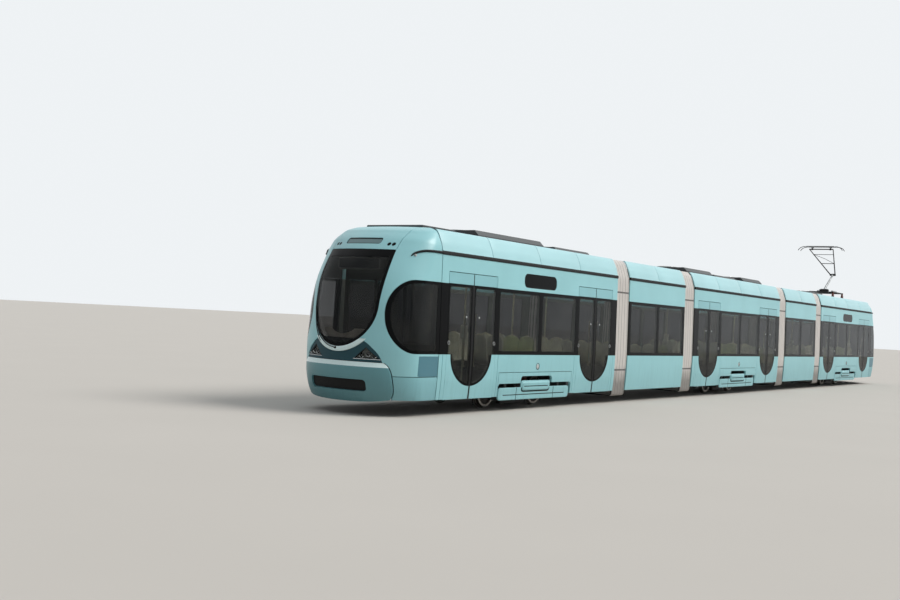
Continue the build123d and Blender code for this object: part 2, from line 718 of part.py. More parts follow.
def bumper():
    """The bumper: a proud band with a sloping top ledge and a shallow slot across its front."""
    low, high = BUMPER_Z
    ledge = Part() + Solid.make_loft([nose_plan(BUMPER_LEDGE_Z, -BUMPER_PROUD), nose_plan(high, 0)])
    outer = nose_solid(-BUMPER_PROUD, low, BUMPER_LEDGE_Z) + ledge
    band = (outer - nose_solid(NOSE_THICK, low - SLICE_STEP, high + SLICE_STEP)) & bumper_zone(0, high)
    slot_half, slot_low, slot_high = BUMPER_SLOT
    slot = box(NOSE_JOINT, NOSE_TIP + OUTSIDE_X, -slot_half, slot_half, slot_low, slot_high)
    return band - (slot - nose_solid(SLOT_DEPTH - BUMPER_PROUD, low, high))


def nose():
    """The front nose: its moulding, its glass and its lamp covers."""
    top = NOSE_SLICES[-1][0]
    outer = nose_solid(0, SKIRT_Z, top)
    inner = nose_solid(NOSE_THICK, FLOOR_Z - FLOOR_THICK - SLICE_STEP, CEILING_Z)
    zone = box(NOSE_JOINT, NOSE_TIP + OUTSIDE_X, -OUTSIDE_Y, OUTSIDE_Y, 0, top + NOSE_THICK)
    shell = (outer - inner) & zone
    mask = nose_solid(MASK_DEPTH, SKIRT_Z, CEILING_Z)
    shell = shell - (ahead(mask_face()) - mask)
    strip = skin_layer(-RING_PROUD, RING_DEPTH) & ahead(screen_face(RING_WIDTH))
    shell = shell + (strip & box(NOSE_JOINT, NOSE_TIP + OUTSIDE_X, -OUTSIDE_Y, OUTSIDE_Y, 0, RING_TOP_Z))
    shell = shell - ahead(screen_face(0))
    glass = skin_layer(0, SCREEN_GLASS)
    panes = [glass & ahead(screen_face(-PANE_GAP))]
    for side in (-1, 1):
        shell = shell - corner_pane(0, side, OUTSIDE_X)
        panes.append(glass & corner_pane(PANE_GAP, side, OUTSIDE_X))
    shell = shell - bumper_zone(PANEL_GAP, BUMPER_Z[1] + FIT_GAP)
    pocket = nose_solid(MASK_DEPTH + LAMP_DEPTH, SKIRT_Z, CEILING_Z)
    lens = mask - pocket
    cover = skin_layer(0, COVER_SKIN)
    lamps = []
    for side in (-1, 1):
        shell = shell - (ahead(triangle(side, 0)) - pocket)
        lamps.append(lens & ahead(triangle(side, LAMP_SHRINK)))
        for y in MARKER_LAMPS:
            x0 = NOSE_JOINT + SCREEN_BACK
            shell = shell - (along_x(MARKER_R + MARKER_GAP, side * y, MARKER_Z, x0, NOSE_TIP) & cover)
            lamps.append(along_x(MARKER_R, side * y, MARKER_Z, x0, NOSE_TIP) & cover)
    sign_half, sign_low, sign_high = SIGN_SLOT
    sign = box(NOSE_JOINT + SCREEN_BACK, NOSE_TIP, -sign_half, sign_half, sign_low, sign_high)
    return shell - (sign & cover), panes, lamps


def nose_floor():
    """The floor's rounded end inside the nose."""
    low = FLOOR_Z - FLOOR_THICK
    inside = nose_solid(NOSE_THICK + BUMPER_PROUD, low - FLOOR_THICK, FLOOR_Z + FLOOR_THICK)
    return inside & box(NOSE_JOINT - SCREEN_BACK, NOSE_TIP, -OUTSIDE_Y, OUTSIDE_Y, low, FLOOR_Z)


def shifted(points, x):
    """A table of (x, z) points moved along the tram."""
    return [(x + dx, z) for dx, z in points]


def cab_fittings():
    """The wall behind the cab in four parts around its window, the desk and the driver's seat."""
    x1 = NOSE_JOINT - PARTITION_BACK
    x0 = x1 - PARTITION_THICK
    sill = BELT_Z + PARTITION_SILL
    half = PARTITION_HALF
    pieces = [box(x0, x1, -half, half, FLOOR_Z, sill), box(x0, x1, -half, half, BAND_TOP_Z, CEILING_Z)]
    for side in (-1, 1):
        pieces.append(box(x0, x1, side * (half - PARTITION_POST), side * half,
                          sill + FIT_GAP, BAND_TOP_Z - FIT_GAP))
    inside = nose_solid(NOSE_THICK + CAB_MARGIN, FLOOR_Z, CAB_LOW_TOP)
    desk_x = NOSE_TIP - DESK_FROM_NOSE
    desk = slab(shifted(DESK, desk_x), -DESK_HALF, DESK_HALF)
    panel = slab(shifted(PANEL, desk_x), -PANEL_HALF, PANEL_HALF)
    pieces.append((desk + panel) & inside)
    seat_x = NOSE_JOINT + DRIVER_SEAT
    cushion_half, back_half = DRIVER_HALF
    post_x, post_r, post_top = DRIVER_POST
    foot_r, foot_height = DRIVER_FOOT
    cushion = slab(shifted(DRIVER_CUSHION, seat_x), -cushion_half, cushion_half)
    back = slab(shifted(DRIVER_BACK, seat_x), -back_half, back_half)
    post = upright(post_r, seat_x + post_x, 0, FLOOR_Z, post_top)
    foot = upright(foot_r, seat_x + post_x, 0, FLOOR_Z, FLOOR_Z + foot_height)
    pieces.append(join([cushion, back, post, foot]))
    return pieces


def bogie_cover(side, centre):
    """One cover over a bogie, with its raised middle and hanging brackets."""
    half = CUTOUT_HALF - COVER_GAP
    x0 = centre - half
    x1 = centre + half
    plate = side_plate(side, x0, x1, COVER_Z, COVER_LUMP_TOP, COVER_GAP / 4, COVER_THICK)
    right = [(half, COVER_Z), (half, COVER_TOP - COVER_CUT), (half - COVER_CUT, COVER_TOP),
             (COVER_LUMP_HALF + COVER_CUT, COVER_TOP), (COVER_LUMP_HALF, COVER_LUMP_TOP)]
    outline = [(centre + x, z) for x, z in right] + [(centre - x, z) for x, z in reversed(right)]
    cover = plate & slab(outline, -OUTSIDE_Y, OUTSIDE_Y)
    lump_half = COVER_LUMP_HALF - LUMP_MARGIN
    cover = cover + side_plate(side, centre - lump_half, centre + lump_half, LUMP_LOW_Z, COVER_LUMP_TOP - LUMP_MARGIN,
                               -LUMP_PROUD, COVER_GAP)
    inner_y = skin(COVER_Z) - SIDE_WALL - BRACKET_IN
    plate_y = skin(COVER_TOP) - COVER_GAP / 4 - COVER_THICK / 2
    low, high = BRACKET_Z
    for x in (centre - BRACKET_X, centre + BRACKET_X):
        arm = box(x - BRACKET_HALF, x + BRACKET_HALF, side * inner_y, side * plate_y, low, high)
        hook = box(x - BRACKET_HALF, x + BRACKET_HALF, side * inner_y, side * (inner_y + BRACKET_THICK),
                   low, WELL_TOP - WELL_WALL)
        cover = cover + arm + hook
    return cover


def wheelset(x):
    """A rail axle with its two wheels."""
    rim = WHEEL_R - RIM_THICK
    tip = WHEEL_R + FLANGE
    back = WHEEL_BACK
    front = WHEEL_FRONT
    web_back = (back + front) / 2 - WEB_HALF
    web_front = web_back + 2 * WEB_HALF
    half = [(0, 0), (AXLE_R, 0), (AXLE_R, back - 20), (HUB_R, back - 10), (HUB_R, web_back), (rim, web_back),
            (rim, back), (tip - 6, back), (tip, back + 10), (tip - 4, back + 22), (WHEEL_R, back + 36),
            (WHEEL_R - 3, front), (rim, front), (rim, web_front), (HUB_R, web_front), (HUB_R, front + 8),
            (AXLE_R, front + 12), (AXLE_R, AXLE_HALF), (0, AXLE_HALF)]
    profile = make_face(Polyline(*[(r, y, 0) for r, y in half], close=True))
    one = revolve(profile, axis=Axis.Y)
    other = mirror(one, about=Plane.XZ)
    return Pos(x, 0, AXLE_Z) * (one + other)


def bogie_side(x, side):
    """One side of a bogie frame: beam with axle boxes and springs, and the track brake that hangs inside it."""
    low, high = BEAM_Z
    inner, outer = sorted((side * (BEAM_Y - BEAM_HALF), side * (BEAM_Y + BEAM_HALF)))
    drop_start, drop_end, drop = BEAM_DROP
    right = [(drop_start, low), (drop_end, low + drop), (BEAM_X, low + drop), (BEAM_X, high)]
    beam = [(x + dx, z) for dx, z in right] + [(x - dx, z) for dx, z in reversed(right)]
    pieces = [slab(beam, inner, outer)]
    spring_top = WELL_TOP - WELL_WALL - SPRING_SEAT - SPRING_GAP
    shoe_y = side * BRAKE_Y
    brake_x, brake_y = BRAKE_HALF
    hanger_x, hanger_y = HANGER_HALF
    for hand in (-1, 1):
        axle_x = x + hand * WHEELBASE / 2
        pieces.append(box(axle_x - AXLE_BOX[0], axle_x + AXLE_BOX[0], inner, outer, AXLE_Z - AXLE_BOX[1], high))
        pieces.append(upright(SPRING_R, x + hand * SPRING_X, side * BEAM_Y, high - 2 * WELD, spring_top))
        cross_x = x + hand * CROSS_X
        pieces.append(box(cross_x - hanger_x, cross_x + hanger_x, shoe_y - hanger_y, shoe_y + hanger_y,
                          BRAKE_Z[1] - WELD, CROSS_Z[0] + WELD))
    pieces.append(box(x - brake_x, x + brake_x, shoe_y - brake_y, shoe_y + brake_y, *BRAKE_Z))
    return pieces


def bogie_drive(x, side):
    """A motor outside one beam, with its bracket, and the gear case on one axle's end that its shaft turns."""
    outer = side * (BEAM_Y + BEAM_HALF)
    motor_y = side * MOTOR_Y
    motor_z = AXLE_Z + MOTOR_LIFT
    gear_x = x + side * WHEELBASE / 2
    gear_half, gear_out, gear_low, gear_high = GEARBOX
    bracket_half, bracket_z, bracket_in = MOTOR_BRACKET
    shaft = sorted((x + side * MOTOR_HALF, gear_x - side * gear_half))
    return [
        along_x(MOTOR_R, motor_y, motor_z, x - MOTOR_HALF, x + MOTOR_HALF),
        box(gear_x - gear_half, gear_x + gear_half, outer, side * (MOTOR_Y + gear_out),
            AXLE_Z - gear_low, AXLE_Z + gear_high),
        along_x(SHAFT_R, motor_y, motor_z, shaft[0] - WELD, shaft[1] + WELD),
        box(x - bracket_half, x + bracket_half, outer, side * (MOTOR_Y - MOTOR_R + bracket_in),
            motor_z - bracket_z, motor_z + bracket_z),
    ]


def bogie_frame(x):
    """A bogie's frame with axle boxes, springs, motors, gear cases and track brakes."""
    pieces = []
    for side in (-1, 1):
        pieces += bogie_side(x, side) + bogie_drive(x, side)
    for cross_x in (x - CROSS_X, x + CROSS_X):
        pieces.append(box(cross_x - CROSS_HALF, cross_x + CROSS_HALF, -BEAM_Y, BEAM_Y, *CROSS_Z))
    pieces.append(box(x - CROSS_X, x + CROSS_X, -CENTRE_HALF, CENTRE_HALF, CROSS_Z[0] + 3 * WELD, CROSS_Z[1] - WELD))
    frame = join(pieces) - upright(KINGPIN_R + BEARING_GAP, x, 0, 0, WELL_TOP)
    bore_half = AXLE_HALF + PANEL_GAP
    for axle_x in (x - WHEELBASE / 2, x + WHEELBASE / 2):
        frame = frame - along_y(AXLE_R + BEARING_GAP, axle_x, AXLE_Z, -bore_half, bore_half)
    return frame


def bellows_section(x, inset):
    """The bellows' outline at one fold, as a closed wire."""
    (shoulder_y, shoulder_z), (top_y, top_z) = BELLOWS_TOP
    points = [(skin(BELLOWS_Z) - BELLOWS_IN, BELLOWS_Z + inset), (skin(BELLOWS_KNEE_Z) - BELLOWS_IN, BELLOWS_KNEE_Z),
              (SKIN[-1][1] - BELLOWS_IN, DRIP_Z), (shoulder_y, shoulder_z - inset / 2), (top_y, top_z - inset)]
    right = [(y - inset, z) for y, z in points]
    left = [(-y, z) for y, z in reversed(right)]
    return Wire(Polyline(*[(x, y, z) for y, z in right + left], close=True).edges())


def bellows(x0, x1):
    """A closed folded tube between two cars."""
    step = (x1 - x0) / (2 * BELLOWS_FOLDS)
    stations = [(x0 + step * i, 0 if i % 2 == 0 else FOLD_DEPTH) for i in range(2 * BELLOWS_FOLDS + 1)]
    outer = Solid.make_loft([bellows_section(x, inset) for x, inset in stations], ruled=True)
    inner = Solid.make_loft([bellows_section(x, inset + BELLOWS_THICK) for x, inset in stations], ruled=True)
    return (Part() + outer) - inner


def seat(x, y, width, facing, base):
    """A seat shell on its plinth; facing is 1 towards the front."""
    points = [(x + facing * dx, base + dz) for dx, dz in SEAT_OUTLINE]
    return slab(points, y - width / 2, y + width / 2)


def interior(x0, bogie, doors):
    """A car's seats and grab poles: pairs over a bogie, or rows along a short car."""
    pieces = []
    for side in (-1, 1):
        if bogie is not None:
            well_y = side * (AISLE_HALF + SEAT_EDGE_Y) / 2
            pieces += [seat(bogie + dx, well_y, BENCH_WIDTH, facing, WELL_TOP) for dx, facing in WELL_SEATS]
        else:
            for dx, right_width in SHORT_SEATS:
                width = BENCH_WIDTH if side == 1 else right_width
                pieces.append(seat(x0 + dx, side * (SEAT_EDGE_Y - width / 2), width, 1, FLOOR_Z))
        for door in doors:
            for hand in (-1, 1):
                pole_x = door + hand * (DOOR_WIDTH / 2 + POLE_FROM_DOOR)
                reach = min(hypot(pole_x - pivot, POLE_Y) for pivot in PIVOTS)
                if reach > TURNTABLE_R + 4 * POLE_R:
                    pieces.append(upright(POLE_R, pole_x, side * POLE_Y, FLOOR_Z, CEILING_Z))
    return pieces


def roof_unit(x0, x1, half, height):
    """A roof unit with chamfered shoulders and a row of louvre slots along its top edges."""
    z = DECK_Z
    top = z + height
    side_top = top - UNIT_SHOULDER
    right = [(half, z), (half, side_top), (half - UNIT_SHOULDER, top)]
    body = bar(right + [(-y, level) for y, level in reversed(right)], x0, x1)
    for index in range(int((x1 - x0 - FIN_ENDS) / FIN_PITCH)):
        x = x0 + FIN_START + index * FIN_PITCH
        for side in (-1, 1):
            body = body - box(x, x + FIN_WIDTH, side * (half - FIN_DEPTH), side * (half + FIN_DEPTH),
                              z + FIN_WIDTH, side_top - FIN_DEPTH)
    return body


def panto_place(pin):
    """A pantograph pin's place, as (x, z), on the front car."""
    return BOGIE_X + pin[0], pin[1]


def insulator(x, y, top):
    """A ribbed post insulator from the plinth up to the frame."""
    rib_r, neck_r = INSULATOR_R
    low = DECK_Z + PLINTH_HEIGHT - PANEL_GAP
    pieces = [upright(neck_r, x, y, low, top)]
    for index in range(0, INSULATOR_RIBS, 2):
        z = low + index * INSULATOR_PITCH
        pieces.append(upright(rib_r, x, y, z, z + INSULATOR_PITCH))
    return pieces


def pantograph_base():
    """Plinth, insulators and frame that carry the pantograph."""
    foot_x, foot_z = panto_place(PANTO_FOOT)
    x0 = foot_x - PLINTH_BACK
    x1 = panto_place(PANTO_KNEE)[0] - PLINTH_FRONT
    half = FRAME_HALF
    bar_half = FRAME_BAR[0] / 2
    frame_top = foot_z - FRAME_BELOW_FOOT
    frame_z = (frame_top - FRAME_BAR[1], frame_top)
    pieces = [box(x0 - PLINTH_MARGIN[0], x1 + PLINTH_MARGIN[0], -half - PLINTH_MARGIN[1], half + PLINTH_MARGIN[1],
                  DECK_Z, DECK_Z + PLINTH_HEIGHT)]
    for x in (x0, x1):
        for y in (-half, half):
            pieces += insulator(x, y, frame_top)
        pieces.append(box(x - bar_half, x + bar_half, -half - bar_half, half + bar_half, *frame_z))
    for y in (-half, half):
        pieces.append(box(x0 - bar_half, x1 + bar_half, y - bar_half, y + bar_half, *frame_z))
    pieces.append(box(foot_x - bar_half, foot_x + bar_half, -half, half, *frame_z))
    wide, narrow = EAR_HALF
    ear = [(foot_x - wide, frame_top - bar_half), (foot_x + wide, frame_top - bar_half),
           (foot_x + narrow, foot_z + bar_half), (foot_x - narrow, foot_z + bar_half)]
    for y in (-EAR_Y, EAR_Y):
        pieces.append(slab(ear, y - EAR_THICK / 2, y + EAR_THICK / 2))
    return join(pieces) - along_y(PANTO_PIN_R + BEARING_GAP, foot_x, foot_z, -half, half)


def pantograph_lower():
    """The lower arm with its foot pin and knee pin."""
    fx, fz = panto_place(PANTO_FOOT)
    kx, kz = panto_place(PANTO_KNEE)
    foot_reach = EAR_Y + EAR_THICK
    knee_reach = UPPER_EYE[2] + WELD
    return join([
        along_y(PANTO_PIN_R, fx, fz, -foot_reach, foot_reach),
        along_y(LOWER_BOSS[0], fx, fz, -LOWER_BOSS[1], LOWER_BOSS[1]),
        tube((fx, 0, fz), (kx, 0, kz), PANTO_TUBE_R),
        along_y(KNEE_BOSS[0], kx, kz, -KNEE_BOSS[1], KNEE_BOSS[1]),
        along_y(PANTO_PIN_R, kx, kz, -knee_reach, knee_reach),
    ])


def pantograph_upper():
    """The upper arm: two tubes that spread from the knee to the head's pin, with a brace between them."""
    kx, kz = panto_place(PANTO_KNEE)
    hx, hz = panto_place(PANTO_HEAD)
    eye_r, eye_in, eye_out = UPPER_EYE
    pieces = [tube((hx, -UPPER_TOP_Y, hz), (hx, UPPER_TOP_Y, hz), UPPER_TUBE_R)]
    for side in (-1, 1):
        pieces.append(along_y(eye_r, kx, kz, side * eye_in, side * eye_out))
        pieces.append(tube((kx, side * UPPER_ROOT_Y, kz), (hx, side * UPPER_TOP_Y, hz), UPPER_TUBE_R))
    share, brace_r = UPPER_BRACE
    brace_y = UPPER_ROOT_Y + (UPPER_TOP_Y - UPPER_ROOT_Y) * share
    pieces.append(along_y(brace_r, kx + (hx - kx) * share, kz + (hz - kz) * share, -brace_y, brace_y))
    return join(pieces) - along_y(PANTO_PIN_R + BEARING_GAP, kx, kz, -eye_out - WELD, eye_out + WELD)


def horn(x, z, side):
    """The drooping end of a contact strip."""
    start = side * (PANTO_STRIP_HALF - 2 * WELD)
    bend = side * (PANTO_STRIP_HALF + HORN_BEND)
    tip = side * PANTO_HORN_HALF
    low, high = STRIP_Z
    points = [(start, z + low), (start, z + high), (bend, z + low), (tip, z - HORN_DROP),
              (tip - side * HORN_WIDTH, z - HORN_DROP), (bend - side * HORN_WIDTH / 2, z + low - HORN_WIDTH)]
    face = make_face(Polyline(*[(x - HORN_WIDTH / 2, y, level) for y, level in points], close=True))
    return extrude(face, amount=HORN_WIDTH, dir=(1, 0, 0))


def pantograph_head():
    """The head: a sleeve and a rocker bar on each side, and two contact strips with their horns."""
    hx, hz = panto_place(PANTO_HEAD)
    pieces = []
    post_half, post_low, post_high = HEAD_POST
    bar_half, bar_low, bar_high = HEAD_BAR
    for side in (-1, 1):
        sleeve = along_y(SLEEVE_R, hx, hz, side * SLEEVE_Y[0], side * SLEEVE_Y[1])
        pieces.append(sleeve - along_y(UPPER_TUBE_R + BEARING_GAP, hx, hz, 0, side * UPPER_TOP_Y))
        middle = side * (SLEEVE_Y[0] + SLEEVE_Y[1]) / 2
        pieces.append(box(hx - post_half, hx + post_half, middle - post_half, middle + post_half,
                          hz + post_low, hz + post_high))
        pieces.append(box(hx - bar_half, hx + bar_half, middle - post_half, middle + post_half,
                          hz + bar_low, hz + bar_high))
    for hand in (-1, 1):
        x = hx + hand * STRIP_X
        pieces.append(box(x - STRIP_HALF_WIDTH, x + STRIP_HALF_WIDTH, -PANTO_STRIP_HALF, PANTO_STRIP_HALF,
                          hz + STRIP_Z[0], hz + STRIP_Z[1]))
        pieces += [horn(x, hz, side) for side in (-1, 1)]
    return join(pieces)


def at_end(shape, end):
    """A piece of the front nose at its own end of the tram."""
    return shape if end == "front" else mirror(shape, about=Plane.YZ)


# Write every piece
front_shell, front_panes, front_lamps = nose()
front_bumper = bumper()
front_cab = cab_fittings()
for number, x0, x1, bogie, doors, right_panes, left_panes, seams in CARS:
    end = "front" if number == 1 else "rear"
    walls = [side_wall(-1, x0, x1, right_panes, doors, bogie), side_wall(1, x0, x1, left_panes, (), bogie)]
    write(walls, f"sides_{number}")
    panes = side_panes(-1, right_panes) + side_panes(1, left_panes)
    leaves = []
    for door in doors:
        pair, door_panes = door_leaves(door)
        leaves += pair
        panes += door_panes
    if leaves:
        write(leaves, f"doors_{number}")
    if number in (1, 5):
        panes += [at_end(pane, end) for pane in front_panes]
        deck = floor(NOSE_CAR_START, NOSE_JOINT - SCREEN_BACK / 2, BOGIE_X, ((PIVOT_OUTER, -1),), nose_floor())
        write([at_end(piece, end) for piece in deck], f"floor_{number}")
    elif number == 3:
        write(floor(x0, x1, bogie, ((-PIVOT_INNER, -1), (PIVOT_INNER, 1))), "floor_3")
    else:
        write(short_floor(x0, x1), f"floor_{number}")
    write(panes, f"glass_{number}")
    write(roof(x0, x1, seams), f"roof_{number}")
    write(interior(x0, bogie, doors), f"interior_{number}")
    if bogie is not None:
        unit = BOGIE_OF_CAR[number]
        write(bogie_frame(bogie), f"bogie_frame_{unit}")
        for letter, offset in (("a", WHEELBASE / 2), ("b", -WHEELBASE / 2)):
            write(wheelset(bogie + offset), f"wheelset_{unit}{letter}")
        write([bogie_cover(side, bogie) for side in (-1, 1)], f"bogie_covers_{unit}")
    units = [roof_unit(x0 + start, x0 + stop, half, height)
             for car, start, stop, half, height in ROOF_UNITS if car == number]
    if units:
        write(units, f"roof_units_{number}")

for end in ("front", "rear"):
    write(at_end(front_shell, end), f"nose_{end}")
    write(at_end(front_bumper, end), f"bumper_{end}")
    write([at_end(lamp, end) for lamp in front_lamps], f"lamps_{end}")
    write([at_end(piece, end) for piece in front_cab], f"cab_{end}")

for name, x0, x1 in (("bellows_12", SHORT_END, NOSE_CAR_START), ("bellows_23", MIDDLE_END, SHORT_START),
                     ("bellows_34", -SHORT_START, -MIDDLE_END), ("bellows_45", -NOSE_CAR_START, -SHORT_END)):
    write(bellows(x0 + BELLOWS_END_GAP, x1 - BELLOWS_END_GAP), name)

write(pantograph_base(), "pantograph_base")
write(pantograph_lower(), "pantograph_lower_arm")
write(pantograph_upper(), "pantograph_upper_arm")
write(pantograph_head(), "pantograph_head")
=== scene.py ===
import json
import logging
import math
from dataclasses import dataclass
from enum import Enum
from typing import Callable, Optional, Sequence, Union

import bpy
import numpy as np
from mathutils import Matrix

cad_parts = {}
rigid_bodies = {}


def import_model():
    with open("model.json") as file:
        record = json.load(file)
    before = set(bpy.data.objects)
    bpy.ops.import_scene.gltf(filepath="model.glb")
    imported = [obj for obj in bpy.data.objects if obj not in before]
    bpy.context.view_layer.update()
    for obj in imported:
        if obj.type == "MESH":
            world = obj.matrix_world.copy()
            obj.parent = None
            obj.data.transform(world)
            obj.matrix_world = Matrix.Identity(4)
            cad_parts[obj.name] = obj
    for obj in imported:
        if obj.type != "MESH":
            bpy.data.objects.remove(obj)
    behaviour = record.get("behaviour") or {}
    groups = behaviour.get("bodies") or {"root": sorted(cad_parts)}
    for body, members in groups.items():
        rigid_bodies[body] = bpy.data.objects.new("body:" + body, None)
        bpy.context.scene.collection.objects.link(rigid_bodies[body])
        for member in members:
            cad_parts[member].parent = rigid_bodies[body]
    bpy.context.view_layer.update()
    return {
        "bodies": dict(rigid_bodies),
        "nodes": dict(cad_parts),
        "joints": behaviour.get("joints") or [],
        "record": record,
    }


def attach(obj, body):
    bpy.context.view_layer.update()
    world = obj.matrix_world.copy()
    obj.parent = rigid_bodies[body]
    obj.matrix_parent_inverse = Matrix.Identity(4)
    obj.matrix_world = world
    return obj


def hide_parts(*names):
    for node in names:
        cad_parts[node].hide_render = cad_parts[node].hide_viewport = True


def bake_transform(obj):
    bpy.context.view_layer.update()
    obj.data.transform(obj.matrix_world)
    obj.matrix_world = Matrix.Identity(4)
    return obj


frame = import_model()

LOG = logging.getLogger("tram")
Array = np.ndarray
Field = Callable[[Array], Array]
Surface = Callable[[Array], Array]
Shape = tuple[Array, list[Array]]
Colour = tuple[float, float, float]
Pair = tuple[float, float]
Row = tuple[float, ...]
Axes = tuple[int, int]
# Heights of the two seams and clamps round a gangway
CLAMP_ROWS = (0.73, 2.44)
# The two axes that an outline is drawn on
SIDE_VIEW = (0, 2)
FRONT_VIEW = (1, 2)


class End(Enum):
    """The end of the tram that a nose stands at."""

    FRONT = 1
    REAR = -1

    @property
    def body(self) -> str:
        """The CAD body of the car at this end."""
        return "car_1" if self is End.FRONT else "car_5"

    @property
    def tag(self) -> str:
        """front or rear, as names have it."""
        return self.name.lower()


class Side(Enum):
    """A side of the tram, as the sign of Y."""

    LEFT = 1
    RIGHT = -1


# Shader helpers


class Sock:
    """A shader value with arithmetic: an expression on values adds Math nodes."""

    def __init__(self, shader: "Shader", socket: bpy.types.NodeSocket) -> None:
        """Keep the shader that owns the socket."""
        self.shader = shader
        self.socket = socket

    def math(self, operation: str, *others: Union["Sock", float]) -> "Sock":
        """Run one Math operation with this value first.

        Args:
            operation: the Math node's operation.
            others: the other operands.

        Returns:
            The result.
        """
        return self.shader.math(operation, self, *others)

    def __add__(self, other: Union["Sock", float]) -> "Sock":
        """Sum."""
        return self.math("ADD", other)

    __radd__ = __add__

    def __mul__(self, other: Union["Sock", float]) -> "Sock":
        """Product."""
        return self.math("MULTIPLY", other)

    __rmul__ = __mul__

    def __sub__(self, other: Union["Sock", float]) -> "Sock":
        """Difference."""
        return self.math("SUBTRACT", other)

    def __rsub__(self, other: float) -> "Sock":
        """Difference from a number."""
        return self.shader.math("SUBTRACT", other, self)

    def clamp(self) -> "Sock":
        """The value held between 0 and 1."""
        return self.shader.math("ADD", self, 0.0, clamp=True)


class Shader:
    """The node tree of a material or a world, built by expressions."""

    def __init__(self, name: str, world: Optional[bpy.types.World] = None) -> None:
        """Start an empty material called name, or clear a world's nodes and work there."""
        self.material = world or bpy.data.materials.new(name)
        self.material.use_nodes = True
        self.tree = self.material.node_tree
        self.tree.nodes.clear()
        self._place: Optional[bpy.types.NodeSocket] = None

    def node(self, kind: str, settings: Optional[dict] = None,
             inputs: Optional[dict] = None) -> bpy.types.Node:
        """Add one node.

        Args:
            kind: the node's type.
            settings: attributes set before its sockets.
            inputs: socket name or index to a number, colour, socket or Sock.

        Returns:
            The node.
        """
        made = self.tree.nodes.new(kind)
        for key, value in (settings or {}).items():
            setattr(made, key, value)
        for key, value in (inputs or {}).items():
            self.feed(made.inputs[key], value)
        return made

    def feed(self, target: bpy.types.NodeSocket, value: object) -> None:
        """Set a socket's number, or link it."""
        if isinstance(value, Sock):
            value = value.socket
        if isinstance(value, bpy.types.NodeSocket):
            self.tree.links.new(value, target)
        elif isinstance(value, tuple) and len(value) == 3 and target.type == "RGBA":
            target.default_value = (*value, 1.0)
        else:
            target.default_value = value

    def math(self, operation: str, *values: Union[Sock, float], clamp: bool = False) -> Sock:
        """Add a Math node on the values and return its result."""
        made = self.node("ShaderNodeMath", {"operation": operation, "use_clamp": clamp},
                         dict(enumerate(values)))
        return Sock(self, made.outputs[0])

    def place(self) -> bpy.types.NodeSocket:
        """The point being shaded, in the frame's own metres."""
        if self._place is None:
            self._place = self.node("ShaderNodeTexCoord").outputs["Object"]
        return self._place

    def axis(self, name: str) -> Sock:
        """One coordinate of the point being shaded, X, Y or Z."""
        split = self.node("ShaderNodeSeparateXYZ", None, {0: self.place()})
        return Sock(self, split.outputs[name])

    def noise(self, scale: float, detail: float = 3.0, stretch: Colour = (1.0, 1.0, 1.0)) -> Sock:
        """Soft noise from 0 to 1.

        Args:
            scale: cycles in a metre.
            detail: octaves.
            stretch: how much faster it runs along each axis.

        Returns:
            The noise.
        """
        where = self.node("ShaderNodeMapping", None, {"Vector": self.place(), "Scale": stretch}).outputs[0]
        made = self.node("ShaderNodeTexNoise", None, {"Vector": where, "Scale": scale, "Detail": detail})
        return Sock(self, made.outputs["Fac"])

    def ramp(self, value: Sock, low: float, high: float) -> Sock:
        """0 where value is at low or under, 1 at high or over, straight between."""
        made = self.node("ShaderNodeMapRange", {"clamp": True}, {0: value, 1: low, 2: high, 3: 0.0, 4: 1.0})
        return Sock(self, made.outputs[0])

    def mix(self, share: Union[Sock, float], first: object, second: object) -> Sock:
        """Blend two colours by share."""
        made = self.node("ShaderNodeMix", {"data_type": "RGBA"}, {"Factor": share})
        self.feed(made.inputs[6], first)
        self.feed(made.inputs[7], second)
        return Sock(self, made.outputs[2])

    def bump(self, height: Sock, distance: float, strength: float = 1.0) -> Sock:
        """A normal from a height; distance is its depth in metres."""
        made = self.node("ShaderNodeBump", None,
                         {"Height": height, "Distance": distance, "Strength": strength})
        return Sock(self, made.outputs[0])

    def finish(self, **sockets: object) -> bpy.types.Material:
        """Close the material with a Principled surface; underscores in names stand for spaces."""
        surface = self.node("ShaderNodeBsdfPrincipled")
        for key, value in sockets.items():
            self.feed(surface.inputs[key.replace("_", " ")], value)
        self.node("ShaderNodeOutputMaterial", None, {"Surface": surface.outputs[0]})
        return self.material


def linear(text: str) -> Colour:
    """A colour written as six hex digits, in linear light."""
    parts = [int(text[i:i + 2], 16) / 255 for i in (0, 2, 4)]
    return tuple(p / 12.92 if p <= 0.04045 else ((p + 0.055) / 1.055) ** 2.4 for p in parts)


# Finishes


@dataclass(frozen=True)
class Paint:
    """Sprayed coachwork paint with fine ripple in its coat, darker low down: road film, and painted shade
    where the low colour is a darker tone of the paint itself.
    """

    name: str
    colour: str
    grime: str = "5c5b52"
    grime_top: float = 0.75
    grime_share: float = 0.4
    roughness: float = 0.38
    coat: float = 0.25

    def make(self) -> bpy.types.Material:
        """Build the material: broad noise in the colour, streaks, and a darker low colour, road film with
        painted shade, that thickens below the given top height.
        """
        s = Shader(self.name)
        base = linear(self.colour)
        drift = s.noise(0.9, 2.0)
        pale = tuple(min(1.0, c * 1.08 + 0.01) for c in base)
        tint = s.mix(s.ramp(drift, 0.35, 0.7), base, pale)
        streak = s.ramp(s.noise(3.0, 4.0, (6.0, 6.0, 0.5)), 0.5, 0.85)
        low = s.ramp(s.axis("Z"), self.grime_top, 0.2)
        # The low darkening: road film, and painted shade where its colour is a darker tone of the paint
        film = (low * (0.6 + streak * 0.35) + streak * 0.05).clamp() * self.grime_share
        colour = s.mix(film, tint, linear(self.grime))
        rough = film * 0.35 + s.noise(40.0, 2.0) * 0.06 + self.roughness
        ripple = s.bump(s.noise(120.0, 1.0), 0.0004, 0.25)
        return s.finish(Base_Color=colour, Roughness=rough, Coat_Weight=self.coat, Coat_Roughness=0.22,
                        Normal=ripple)


